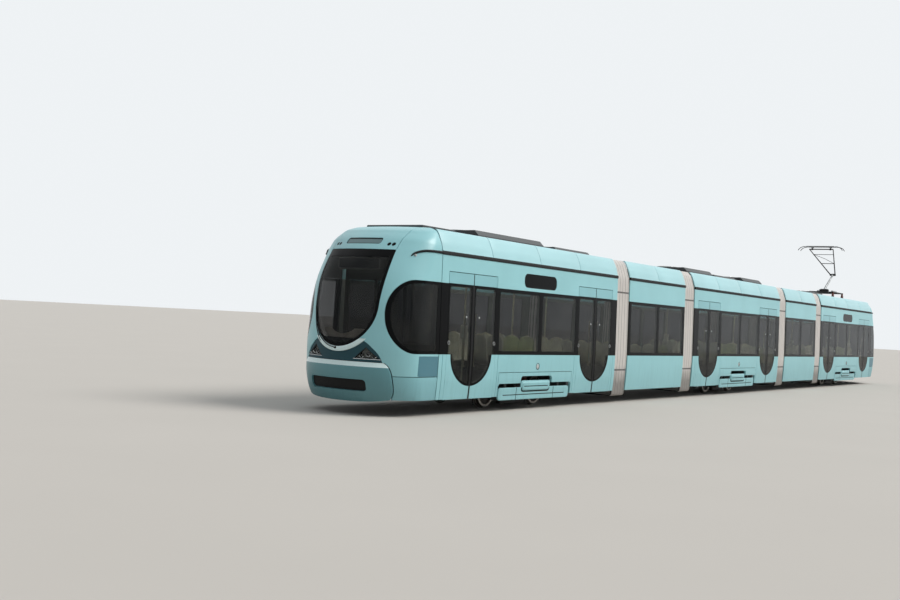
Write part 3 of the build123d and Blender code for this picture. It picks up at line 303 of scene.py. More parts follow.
@dataclass(frozen=True)
class Plastic:
    """Moulded plastic, rubber or covering with a fine grain."""

    name: str
    colour: str
    roughness: float = 0.5
    grain: float = 220.0
    depth: float = 0.0006
    mottle: float = 0.12
    specular: float = 0.5

    def make(self) -> bpy.types.Material:
        """Build the material: mottled colour and a fine leather-like grain."""
        s = Shader(self.name)
        base = linear(self.colour)
        dark = tuple(c * (1 - self.mottle * 2) for c in base)
        blotch = s.ramp(s.noise(7.0, 5.0), 0.35, 0.75)
        rough = s.noise(25.0, 3.0) * 0.16 + (self.roughness - 0.08)
        grain = s.bump(s.noise(self.grain, 2.0), self.depth, 0.5)
        return s.finish(Base_Color=s.mix(blotch, base, dark), Roughness=rough, Normal=grain,
                        Specular_IOR_Level=self.specular)


@dataclass(frozen=True)
class Metal:
    """Bare or thinly painted metal with wear and dust."""

    name: str
    colour: str
    dust: str = "4a3f36"
    roughness: float = 0.35
    metallic: float = 1.0
    dust_share: float = 0.4

    def make(self) -> bpy.types.Material:
        """Build the material: brushed noise in the roughness, brown dust in patches."""
        s = Shader(self.name)
        patch = s.ramp(s.noise(9.0, 6.0), 0.42, 0.7) * self.dust_share
        colour = s.mix(patch, linear(self.colour), linear(self.dust))
        rough = (patch * 0.5 + s.noise(160.0, 2.0) * 0.15 + (self.roughness - 0.07)).clamp()
        metal = (1.0 - patch) * self.metallic
        dents = s.bump(s.noise(60.0, 4.0), 0.0005, 0.3)
        return s.finish(Base_Color=colour, Roughness=rough, Metallic=metal, Normal=dents)


@dataclass(frozen=True)
class Glazing:
    """Tinted safety glass with a light film of dust."""

    name: str
    colour: str
    alpha: float = 0.5
    dust: float = 0.1

    def make(self) -> bpy.types.Material:
        """Build the material: dust raises alpha and roughness in soft patches."""
        s = Shader(self.name)
        cloud = s.ramp(s.noise(2.2, 5.0), 0.4, 0.8)
        alpha = (cloud * self.dust + self.alpha).clamp()
        rough = cloud * 0.08 + 0.02
        tint = s.mix(cloud * 0.25, linear(self.colour), (0.12, 0.12, 0.11))
        return s.finish(Base_Color=tint, Roughness=rough, Alpha=alpha, Specular_IOR_Level=0.14)


@dataclass(frozen=True)
class Lens:
    """Moulded lamp lens or reflector."""

    name: str
    colour: str
    metallic: float = 0.0
    glow: float = 0.0

    def make(self) -> bpy.types.Material:
        """Build the material: fine prisms run across a clear, shiny body."""
        s = Shader(self.name)
        prism = s.bump(s.math("SINE", s.axis("Y") * 900.0), 0.0006, 0.5)
        tone = linear(self.colour)
        shade = s.mix(s.noise(30.0, 2.0), tone, tuple(c * 0.75 for c in tone))
        return s.finish(Base_Color=shade, Roughness=0.12, Metallic=self.metallic, Coat_Weight=0.8,
                        Normal=prism, Emission_Color=tone, Emission_Strength=self.glow)


@dataclass(frozen=True)
class FoldedFabric:
    """Coated gangway fabric with painted shade in the valleys, and dirty near the road."""

    name: str
    colour: str
    valley: str

    def make(self) -> bpy.types.Material:
        """Build the material: a per-point attribute paints shade into the valleys, dirt rises from below,
        seams stay dark.
        """
        s = Shader(self.name)
        fold = Sock(s, s.node("ShaderNodeAttribute", {"attribute_name": "fold"}).outputs["Fac"])
        level = s.axis("Z")
        low = s.ramp(level + s.noise(4.0, 4.0) * 0.3, 0.95, 0.6)
        # Painted shade: the valley colour where the attribute is high
        tint = s.mix(fold, linear(self.colour), linear(self.valley))
        tint = s.mix(low * 0.6, tint, linear("5b5650"))
        for row in CLAMP_ROWS:
            off = level - row
            tint = s.mix(s.ramp(off * off, 0.0004, 0.0002) * (1.0 - fold) * 0.85, tint, linear("1b1a19"))
        weave = s.bump(s.noise(500.0, 1.0), 0.0004, 0.5)
        return s.finish(Base_Color=tint, Roughness=s.noise(12.0) * 0.15 + 0.6, Normal=weave,
                        Sheen_Weight=0.15)


class Finishes:
    """Every finish of the tram, made once and asked for by name."""

    RECIPES = (
        # Below 1.25 m a darker body tone: painted shade on the lower panels, with road film
        Paint("coach_paint", "90cad1", grime="4c6668", grime_top=1.25),
        Paint("header_paint", "82bcc4"),
        # A darker turquoise: painted shade for the bumper's front
        Paint("bumper_paint", "5a9199", grime="3f5557", grime_share=0.5),
        # A darker turquoise: painted shade for the nose's low side panels
        Paint("cheek_paint", "7eb7bf", grime="3f5557", grime_share=0.5),
        # A pale tone of the coach paint: painted highlight on the windscreen strip and the bumper's ledge
        Paint("ring_paint", "dcf4f5", grime_share=0.1, roughness=0.25),
        Paint("slot_grey", "557579", grime_share=0.0, coat=0.0),
        Paint("panel_blue", "3d7584", coat=0.2),
        Paint("roof_paint", "a4d4db", grime="6c6a60", grime_top=0.2, roughness=0.36),
        Paint("deck_paint", "84888a", "4f4a43", grime_top=4.0, roughness=0.6, coat=0.0),
        Paint("deck_dark", "3a3f42", "4f4a43", 3.6, 0.3, roughness=0.6, coat=0.0),
        Paint("unit_dark", "45494b", "4f4a43", 3.8, 0.3, roughness=0.6, coat=0.0),
        Paint("unit_paint", "b4b7b6", "5b554d", 3.8, 0.3, roughness=0.5, coat=0.0),
        Plastic("black_frit", "08090a", 0.16, 60.0, 0.0001, 0.05, 0.06),
        # A dark turquoise: painted shade for the set-back mask
        Plastic("mask_paint", "2a4c55", 0.4, 60.0, 0.0001, 0.05, 0.16),
        Plastic("seal_rubber", "0e0f10", 0.62, specular=0.25),
        Plastic("cab_moulding", "7d8079", 0.55),
        Plastic("desk_top", "2a2c2e", 0.6),
        Plastic("dash_cream", "d8d1c2", 0.6),
        Plastic("lining", "a9aca8", 0.5),
        Plastic("floor_sheet", "4a4f54", 0.55, 400.0, 0.0003, 0.3),
        Plastic("seat_cream", "f3eed8", 0.35, 90.0, 0.0002),
        Plastic("seat_green", "dbe2ae", 0.35, 90.0, 0.0002),
        Plastic("driver_cloth", "2b2d31", 0.92, 700.0, 0.0008, 0.2),
        Plastic("insulator", "7c3b2a", 0.2, 30.0, 0.0001),
        Plastic("copper_strip", "3a3432", 0.5, 300.0, 0.0003),
        # Darker than bright steel: dust, and painted shade for the tyres under the covers
        Metal("tread_steel", "8b8781", roughness=0.25, dust_share=0.45),
        Metal("wheel_steel", "4a4644", "3a2c22", 0.55, 0.7, 0.6),
        Metal("frame_paint", "2b2d2f", "4b3d31", 0.55, 0.2, 0.5),
        Metal("motor_paint", "3b4044", "4b3d31", 0.5, 0.3, 0.45),
        Metal("bright_metal", "c6c9cb", roughness=0.2, dust_share=0.05),
        Metal("pole_steel", "e9e3c4", roughness=0.25, metallic=0.1, dust_share=0.05),
        Metal("spring_steel", "7c2f1f", "3a2c22", 0.5, 0.2, 0.4),
        Metal("pantograph_paint", "26282a", roughness=0.45, metallic=0.4),
        Metal("pantograph_light", "a2a6a8", roughness=0.4, metallic=0.5),
        Glazing("cabin_glass", "080c0e", 0.56, 0.08),
        Glazing("screen_glass", "090e10", 0.42, 0.1),
        Glazing("lamp_cover", "20282b", 0.15, 0.05),
        Lens("lamp_white", "e8ecec", 0.6),
        Lens("lamp_red", "a8150f"),
        Lens("lamp_amber", "d8760c"),
        Lens("dome_clear", "c3c8c8"),
        Lens("lamp_smoke", "0c0d0e"),
        Lens("lamp_well", "141b1d", 0.3),
        Lens("ceiling_lamp", "e9ece8", 0.0, 12.0),
        FoldedFabric("bellows_fabric", "efebe7", "2c2826"),
    )

    def __init__(self) -> None:
        """Make every material."""
        self.made = {recipe.name: recipe.make() for recipe in self.RECIPES}

    def __getitem__(self, name: str) -> bpy.types.Material:
        """The material called name."""
        return self.made[name]


# Mesh helpers


def hermite(at: Array, knots: Sequence[float], values: Sequence[float]) -> Array:
    """Smooth curve through a table: cubic pieces whose slopes are the table's own central differences.

    Args:
        at: where to read the curve.
        knots: rising places in the table.
        values: the value at each.

    Returns:
        The curve's values, held at its ends.
    """
    x = np.asarray(knots, float)
    y = np.asarray(values, float)
    slope = np.gradient(y, x)
    place = np.clip(np.searchsorted(x, at) - 1, 0, len(x) - 2)
    width = x[place + 1] - x[place]
    t = np.clip((at - x[place]) / width, 0.0, 1.0)
    first = (2 * t**3 - 3 * t**2 + 1) * y[place] + (t**3 - 2 * t**2 + t) * width * slope[place]
    return first + (3 * t**2 - 2 * t**3) * y[place + 1] + (t**3 - t**2) * width * slope[place + 1]


def signed_area(ring: Array) -> float:
    """Twice the area inside a closed outline, above 0 where it runs anticlockwise."""
    return np.sum(ring[:, 0] * np.roll(ring[:, 1], -1) - np.roll(ring[:, 0], -1) * ring[:, 1])


def soft(points: Sequence[Sequence[float]]) -> Array:
    """A smooth line through a few points, read at 14 places."""
    table = np.array(points, float)
    knots = np.arange(len(table), dtype=float)
    at = np.linspace(0, len(table) - 1, 14)
    return np.stack([hermite(at, knots, table[:, k]) for k in range(3)], axis=1)


def grid_quads(rows: int, cols: int, wrap_rows: bool = False, wrap_cols: bool = False) -> Array:
    """Quads of a grid whose point (i, j) has index i * cols + j; a wrapped way joins its end to its start."""
    i = np.arange(rows if wrap_rows else rows - 1)[:, None]
    j = np.arange(cols if wrap_cols else cols - 1)[None, :]
    i2 = (i + 1) % rows
    j2 = (j + 1) % cols
    return np.stack([i * cols + j, i2 * cols + j, i2 * cols + j2, i * cols + j2], axis=-1).reshape(-1, 4)


def trim(points: Array, tris: Array, value: Array) -> tuple[Array, Array]:
    """Cut a triangle mesh along value = 0 and keep the side above it.

    A triangle with mixed signs is cut where value, taken as straight along each edge, is 0.

    Args:
        points: one row each, of any width.
        tris: point indices.
        value: one number a point.

    Returns:
        The kept points and triangles.
    """
    value = np.where(np.abs(value) < 1e-7, 1e-7, value)
    above = value > 0
    count = above[tris].sum(axis=1)

    def turned(part: Array, odd: Array) -> Array:
        """Rotate each triangle so that its odd corner comes first."""
        return np.take_along_axis(part, (odd[:, None] + np.arange(3)) % 3, axis=1)

    one = turned(tris[count == 1], above[tris[count == 1]].argmax(axis=1))
    two = turned(tris[count == 2], above[tris[count == 2]].argmin(axis=1))
    edges = np.sort(np.vstack([one[:, [0, 1]], one[:, [0, 2]], two[:, [0, 1]], two[:, [0, 2]]]), axis=1)
    keys, back = np.unique(edges, axis=0, return_inverse=True)
    share = value[keys[:, 0]] / (value[keys[:, 0]] - value[keys[:, 1]])
    cut = points[keys[:, 0]] + (points[keys[:, 1]] - points[keys[:, 0]]) * share[:, None]
    ids = back.ravel() + len(points)
    n, m = len(one), len(two)
    a, b, c, d = ids[:n], ids[n:2 * n], ids[2 * n:2 * n + m], ids[2 * n + m:]
    kept = np.vstack([
        tris[count == 3],
        np.stack([one[:, 0], a, b], axis=1),
        np.stack([c, two[:, 1], two[:, 2]], axis=1),
        np.stack([c, two[:, 2], d], axis=1),
    ])
    used, renumbered = np.unique(kept, return_inverse=True)
    return np.vstack([points, cut])[used], renumbered.reshape(-1, 3)


def thicken(points: Array, tris: Array, normals: Array, depth: float) -> Shape:
    """Close an open skin: a copy set back by depth along the normals, and walls along its edges."""
    corner = points[tris]
    facing = np.cross(corner[:, 1] - corner[:, 0], corner[:, 2] - corner[:, 0])
    if (facing * normals[tris[:, 0]]).sum() < 0:
        tris = tris[:, ::-1]
    count = len(points)
    directed = np.vstack([tris[:, [0, 1]], tris[:, [1, 2]], tris[:, [2, 0]]])
    code = directed[:, 0].astype(np.int64) * count + directed[:, 1]
    mirror_code = directed[:, 1].astype(np.int64) * count + directed[:, 0]
    rim = directed[~np.isin(code, mirror_code)]
    walls = np.stack([rim[:, 1], rim[:, 0], rim[:, 0] + count, rim[:, 1] + count], axis=1)
    return np.vstack([points, points - normals * depth]), [tris, tris[:, ::-1] + count, walls]


def slopes(surface: Surface, uv: Array, step: float = 1e-4) -> Array:
    """Unit normals of a surface, from the cross product of its two central differences."""
    du = surface(uv + [step, 0]) - surface(uv - [step, 0])
    dv = surface(uv + [0, step]) - surface(uv - [0, step])
    normal = np.cross(du, dv)
    return normal / np.maximum(np.linalg.norm(normal, axis=1, keepdims=True), 1e-12)


@dataclass
class Patch:
    """A piece of a curved surface, cut to an outline by fields and given a thickness.

    u and v are the grid's lines; outward is -1 where the surface's own normal points inwards.
    """

    surface: Surface
    u: Array
    v: Array
    outward: float = 1.0

    def cut(self, fields: Sequence[Field], depth: float, lift: Union[float, Field] = 0.0) -> Shape:
        """Trim the grid by each field in turn, place it on the surface and thicken it.

        Args:
            fields: each takes points and is above 0 where they're kept.
            depth: thickness in metres, inwards.
            lift: how far the outer face stands proud, or a field that gives it.

        Returns:
            Points and faces of a closed shell.
        """
        u, v = np.meshgrid(self.u, self.v, indexing="ij")
        uv = np.stack([u.ravel(), v.ravel()], axis=1)
        quads = grid_quads(len(self.u), len(self.v))
        tris = np.vstack([quads[:, [0, 1, 2]], quads[:, [0, 2, 3]]])
        for each in fields:
            uv, tris = trim(uv, tris, each(self.surface(uv)))
        normals = slopes(self.surface, uv) * self.outward
        points = self.surface(uv)
        proud = lift(points)[:, None] if callable(lift) else lift
        return thicken(points + normals * proud, tris, normals, depth)


def lines(low: float, high: float, marks: Sequence[float] = (), coarse: float = 0.25, fine: float = 0.012,
          reach: float = 0.06) -> Array:
    """Grid lines from low to high: even ones at most coarse apart, and fine ones around each mark."""
    rows = [np.linspace(low, high, int(math.ceil((high - low) / coarse)) + 1)]
    rows += [np.arange(mark - reach, mark + reach + fine / 2, fine) for mark in marks]
    every = np.unique(np.concatenate(rows).round(5))
    return every[(every >= low - 1e-6) & (every <= high + 1e-6)]


def spans(low: float, high: float, cuts: Sequence[Pair]) -> list[Pair]:
    """What is left of a stretch once the cuts, given as (start, stop), are taken out of it."""
    kept = []
    for start, stop in sorted(cuts) + [(high, high)]:
        if min(start, high) - low > 0.004:
            kept.append((low, min(start, high)))
        low = max(low, stop)
    return kept


def keep_above(axis: int, limit: float) -> Field:
    """A field that keeps points whose coordinate is above limit."""
    return lambda p: p[:, axis] - limit


def keep_below(axis: int, limit: float) -> Field:
    """A field that keeps points whose coordinate is below limit."""
    return lambda p: limit - p[:, axis]


def without(field: Field) -> Field:
    """A field that keeps what another leaves out."""
    return lambda p: -field(p)


def rounded_box(p: Array, axes: Axes, centre: Pair, half: Pair,
                radius: float) -> Array:
    """Signed distance to a rectangle with round corners, below 0 inside."""
    dx = np.abs(p[:, axes[0]] - centre[0]) - half[0] + radius
    dz = np.abs(p[:, axes[1]] - centre[1]) - half[1] + radius
    return np.hypot(np.maximum(dx, 0), np.maximum(dz, 0)) + np.minimum(np.maximum(dx, dz), 0) - radius


def hole(axes: Axes, centre: Pair, half: Pair, radius: float) -> Field:
    """A field that cuts a rounded opening."""
    return lambda p: rounded_box(p, axes, centre, half, radius)


def plate(axes: Axes, centre: Pair, half: Pair, radius: float) -> Field:
    """A field that keeps a rounded plate."""
    return lambda p: -rounded_box(p, axes, centre, half, radius)


def block(low: Sequence[float], high: Sequence[float], edge: float = 0.004) -> Shape:
    """A block with chamfered edges: each of its 24 corners lies edge in from the two other faces."""
    lo = np.minimum(low, high).astype(float)
    hi = np.maximum(low, high).astype(float)
    mid = (lo + hi) / 2
    half = (hi - lo) / 2
    edge = min(edge, half.min() * 0.5)
    signs = np.array([[sx, sy, sz] for sx in (-1, 1) for sy in (-1, 1) for sz in (-1, 1)], float)
    points = []
    for axis in range(3):
        inset = np.full(3, edge)
        inset[axis] = 0
        points.append(mid + signs * (half - inset))

    def index(axis: int, s: Array) -> int:
        """The number of the point near the corner with signs s that lies on an axis's face."""
        return axis * 8 + int((s[0] > 0) * 4 + (s[1] > 0) * 2 + (s[2] > 0))

    quads = []
    tris = []
    for axis in range(3):
        b, c = (axis + 1) % 3, (axis + 2) % 3
        for sign in (-1, 1):
            ring = []
            for sb, sc in ((-1, -1), (1, -1), (1, 1), (-1, 1)):
                s = np.zeros(3)
                s[axis], s[b], s[c] = sign, sb, sc
                ring.append(index(axis, s))
            quads.append(ring if sign > 0 else ring[::-1])
            for sign_b in (-1, 1):
                ends = []
                for sc in (-1, 1):
                    s = np.zeros(3)
                    s[axis], s[b], s[c] = sign, sign_b, sc
                    ends.append((index(axis, s), index(b, s)))
                strip = [ends[0][0], ends[0][1], ends[1][1], ends[1][0]]
                quads.append(strip if sign * sign_b > 0 else strip[::-1])
    for s in signs:
        corner = [index(axis, s) for axis in range(3)]
        tris.append(corner if s.prod() > 0 else corner[::-1])
    return np.vstack(points), [np.array(quads), np.array(tris)]


def lathe(profile: Sequence[Pair], centre: Sequence[float], axis: int, segments: int = 32,
          closed: bool = False) -> Shape:
    """Turn a profile of (radius, place along the axis) once round an axis through centre.

    Args:
        profile: the outline's points.
        centre: a point on the axis.
        axis: 0, 1 or 2.
        segments: steps of the turn.
        closed: join the profile's end to its start; otherwise both ends get a flat cap.

    Returns:
        The turned shape.
    """
    table = np.array(profile, float)
    angle = np.linspace(0, 2 * math.pi, segments, endpoint=False)
    b, c = (axis + 1) % 3, (axis + 2) % 3
    points = np.zeros((segments, len(table), 3))
    points[:, :, axis] = table[None, :, 1]
    points[:, :, b] = np.cos(angle)[:, None] * table[None, :, 0]
    points[:, :, c] = np.sin(angle)[:, None] * table[None, :, 0]
    faces = [grid_quads(segments, len(table), wrap_rows=True, wrap_cols=closed)]
    ring = np.arange(segments) * len(table)
    if not closed:
        faces += [ring[None], ring[None, ::-1] + len(table) - 1]
    loop = table if closed else np.vstack([[0, table[0, 1]], table, [0, table[-1, 1]]])
    if signed_area(loop) < 0:
        faces = [part[:, ::-1] for part in faces]
    return points.reshape(-1, 3) + np.asarray(centre, float), faces


def sweep(path: Sequence[Sequence[float]], radius: Union[float, Array], sides: int = 10,
          closed: bool = False) -> Shape:
    """A round tube along a path: each ring lies across the path's own direction there."""
    line = np.asarray(path, float)
    ahead = np.roll(line, -1, axis=0) - np.roll(line, 1, axis=0)
    if not closed:
        ahead[0] = line[1] - line[0]
        ahead[-1] = line[-1] - line[-2]
    ahead /= np.linalg.norm(ahead, axis=1, keepdims=True)
    guide = np.eye(3)[np.abs(ahead).max(axis=0).argmin()]
    across = np.cross(ahead, guide)
    across /= np.linalg.norm(across, axis=1, keepdims=True)
    up = np.cross(across, ahead)
    angle = np.linspace(0, 2 * math.pi, sides, endpoint=False)
    size = np.broadcast_to(np.asarray(radius, float), (len(line),))[:, None, None]
    ring = across[:, None] * np.cos(angle)[None, :, None] + up[:, None] * np.sin(angle)[None, :, None]
    points = (line[:, None] + ring * size).reshape(-1, 3)
    faces = [grid_quads(len(line), sides, wrap_rows=closed, wrap_cols=True)]
    if not closed:
        faces.append(np.arange(sides)[None, ::-1])
        faces.append(np.arange(sides)[None, :] + (len(line) - 1) * sides)
    return points, faces


def prism(outline: Array, axis: int, low: float, high: float) -> Shape:
    """A flat outline carried straight along an axis; the outline's two columns are the next two axes."""
    flat = np.asarray(outline, float)
    count = len(flat)
    points = np.zeros((2 * count, 3))
    b, c = (axis + 1) % 3, (axis + 2) % 3
    points[:count, axis] = low
    points[count:, axis] = high
    points[:, b] = np.tile(flat[:, 0], 2)
    points[:, c] = np.tile(flat[:, 1], 2)
    ring = np.arange(count)
    after = np.roll(ring, -1)
    walls = np.stack([ring, after, after + count, ring + count], axis=1)
    faces = [ring[None, ::-1], ring[None] + count, walls]
    return points, faces if signed_area(flat) > 0 else [part[:, ::-1] for part in faces]


def move(shape: Shape, offset: Sequence[float]) -> Shape:
    """The same shape somewhere else."""
    return shape[0] + np.asarray(offset, float), shape[1]


def outwards(shape: Shape) -> Shape:
    """The closed shape with its faces turned out, so that its volume, summed over fans, is above 0."""
    points, faces = shape
    volume = 0.0
    for part in faces:
        if len(part):
            corner = points[np.asarray(part)]
            for k in range(1, corner.shape[1] - 1):
                volume += np.sum(corner[:, 0] * np.cross(corner[:, k], corner[:, k + 1]))
    if volume > 0:
        return points, faces
    return points, [np.asarray(part)[:, ::-1] for part in faces if len(part)]


class Builder:
    """Collects shapes with their finishes and makes one object of them."""

    def __init__(self, finishes: Finishes) -> None:
        """Start empty."""
        self.finishes = finishes
        self.points: list[Array] = []
        self.faces: list[tuple[Array, int]] = []
        self.slots: list[str] = []
        self.count = 0

    def add(self, shape: Shape, finish: str, end: End = End.FRONT) -> "Builder":
        """Add one shape.

        Args:
            shape: points and faces.
            finish: the material's name.
            end: the rear end mirrors a shape that is made for the front end.

        Returns:
            The builder, so that calls can follow each other.
        """
        points, faces = outwards(shape if end is End.FRONT else mirrored(shape))
        if finish not in self.slots:
            self.slots.append(finish)
        slot = self.slots.index(finish)
        for part in faces:
            if len(part):
                self.faces.append((np.asarray(part) + self.count, slot))
        self.points.append(points)
        self.count += len(points)
        return self

    def make(self, name: str, body: Optional[str], replaces: Sequence[str] = (), sharp: float = 32.0,
             slot: Optional[str] = None) -> bpy.types.Object:
        """Put the shapes in one mesh that rides on a body.

        Args:
            name: the piece's name.
            body: the CAD body it moves with, or None, where it is on no body.
            replaces: CAD nodes it stands for.
            sharp: edges over this angle, in degrees, stay crisp.
            slot: the record's material slot; not used.

        Returns:
            The object.
        """
        mesh = bpy.data.meshes.new(name)
        points = np.vstack(self.points)
        sizes = np.concatenate([np.full(len(part), part.shape[1]) for part, _ in self.faces])
        loops = np.concatenate([part.ravel() for part, _ in self.faces])
        mesh.vertices.add(len(points))
        mesh.vertices.foreach_set("co", points.ravel().astype(np.float32))
        mesh.loops.add(len(loops))
        mesh.loops.foreach_set("vertex_index", loops.astype(np.int32))
        mesh.polygons.add(len(sizes))
        mesh.polygons.foreach_set("loop_start", (np.cumsum(sizes) - sizes).astype(np.int32))
        slots = np.concatenate([np.full(len(part), number) for part, number in self.faces])
        mesh.polygons.foreach_set("material_index", slots.astype(np.int32))
        mesh.update(calc_edges=True)
        mesh.validate()
        mesh.shade_smooth()
        mesh.set_sharp_from_angle(angle=math.radians(sharp))
        for finish in self.slots:
            mesh.materials.append(self.finishes[finish])
        made = bpy.data.objects.new(name, mesh)
        bpy.context.scene.collection.objects.link(made)
        if body:
            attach(made, body)
        if replaces:
            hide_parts(*replaces)
        LOG.info("%s: %d faces on %s", name, len(sizes), body or "two bodies")
        return made


def mirrored(shape: Shape) -> Shape:
    """The same shape at the other end of the tram: X changes sign and every face turns round."""
    return shape[0] * [-1.0, 1.0, 1.0], [part[:, ::-1] for part in shape[1]]


# Places that the sub-assemblies share


@dataclass(frozen=True)
class Layout:
    """Heights, half widths and places along the tram, in metres, as in the solids."""

    skin_z: Row = (0.28, 0.60, 1.05, 2.75)
    skin_y: Row = (1.118, 1.143, 1.150, 1.118)
    skirt: float = 0.28
    floor: float = 0.35
    belt: float = 1.05
    band_top: float = 2.26
    ceiling: float = 2.64
    drip: float = 2.75
    deck: float = 2.93
    nose_joint: float = 14.400
    nose_tip: float = 15.735
    door_half: float = 0.765
    well_top: float = 0.72
    axle_z: float = 0.315
    wheelbase: float = 1.80

    def skin(self, z: Array) -> Array:
        """Half the body's width at a height: straight between the table's rows."""
        return np.interp(z, self.skin_z, self.skin_y)

    def side(self, side: Side, inset: float = 0.0) -> Surface:
        """A side's surface: (x, z) goes to the skin's half width there, less inset, on that side."""
        return lambda uv: np.stack([uv[:, 0], side.value * (self.skin(uv[:, 1]) - inset), uv[:, 1]], axis=1)


LAYOUT = Layout()


@dataclass(frozen=True)
class Car:
    """One car: its ends, bogie, doors, window splits on the right and on the left, and roof seams."""

    number: int
    start: float
    end: float
    bogie: Optional[float]
    doors: Row
    right: Row
    left: Row
    seams: Row

    @property
    def body(self) -> str:
        """The CAD body's name."""
        return f"car_{self.number}"

    def panes(self, side: Side) -> Row:
        """The window splits of a side."""
        return self.right if side is Side.RIGHT else self.left

    def doorways(self, side: Side) -> Row:
        """The door centres of a side; the left side has none."""
        return self.doors if side is Side.RIGHT else ()

    def turned(self, number: int) -> "Car":
        """The like car at the other end of the tram, with its doors on the same side."""
        def flip(values: Row) -> Row:
            """The places with their signs changed, in rising order."""
            return tuple(-value for value in reversed(values))

        bogie = None if self.bogie is None else -self.bogie
        return Car(number, -self.end, -self.start, bogie, flip(self.doors), flip(self.right), flip(self.left),
                   flip(self.seams))


NOSE_CAR = Car(1, 7.75, 14.392, 11.08, (8.75, 13.41), (9.57, 11.04, 12.59),
               (7.97, 9.40, 11.08, 12.78, 14.347), (9.47, 11.10, 12.82))
SHORT_CAR = Car(2, 3.975, 7.125, None, (), (4.02, 5.55, 7.08), (4.02, 5.55, 7.08), (5.55,))
MIDDLE_CAR = Car(3, -3.35, 3.35, 0.0, (-2.33, 2.33), (-1.51, 0.0, 1.51), (-3.23, -1.60, 0.0, 1.60, 3.23),
                 (-1.65, 0.0, 1.65))
CARS = (NOSE_CAR, SHORT_CAR, MIDDLE_CAR, SHORT_CAR.turned(4), NOSE_CAR.turned(5))


# Coachwork


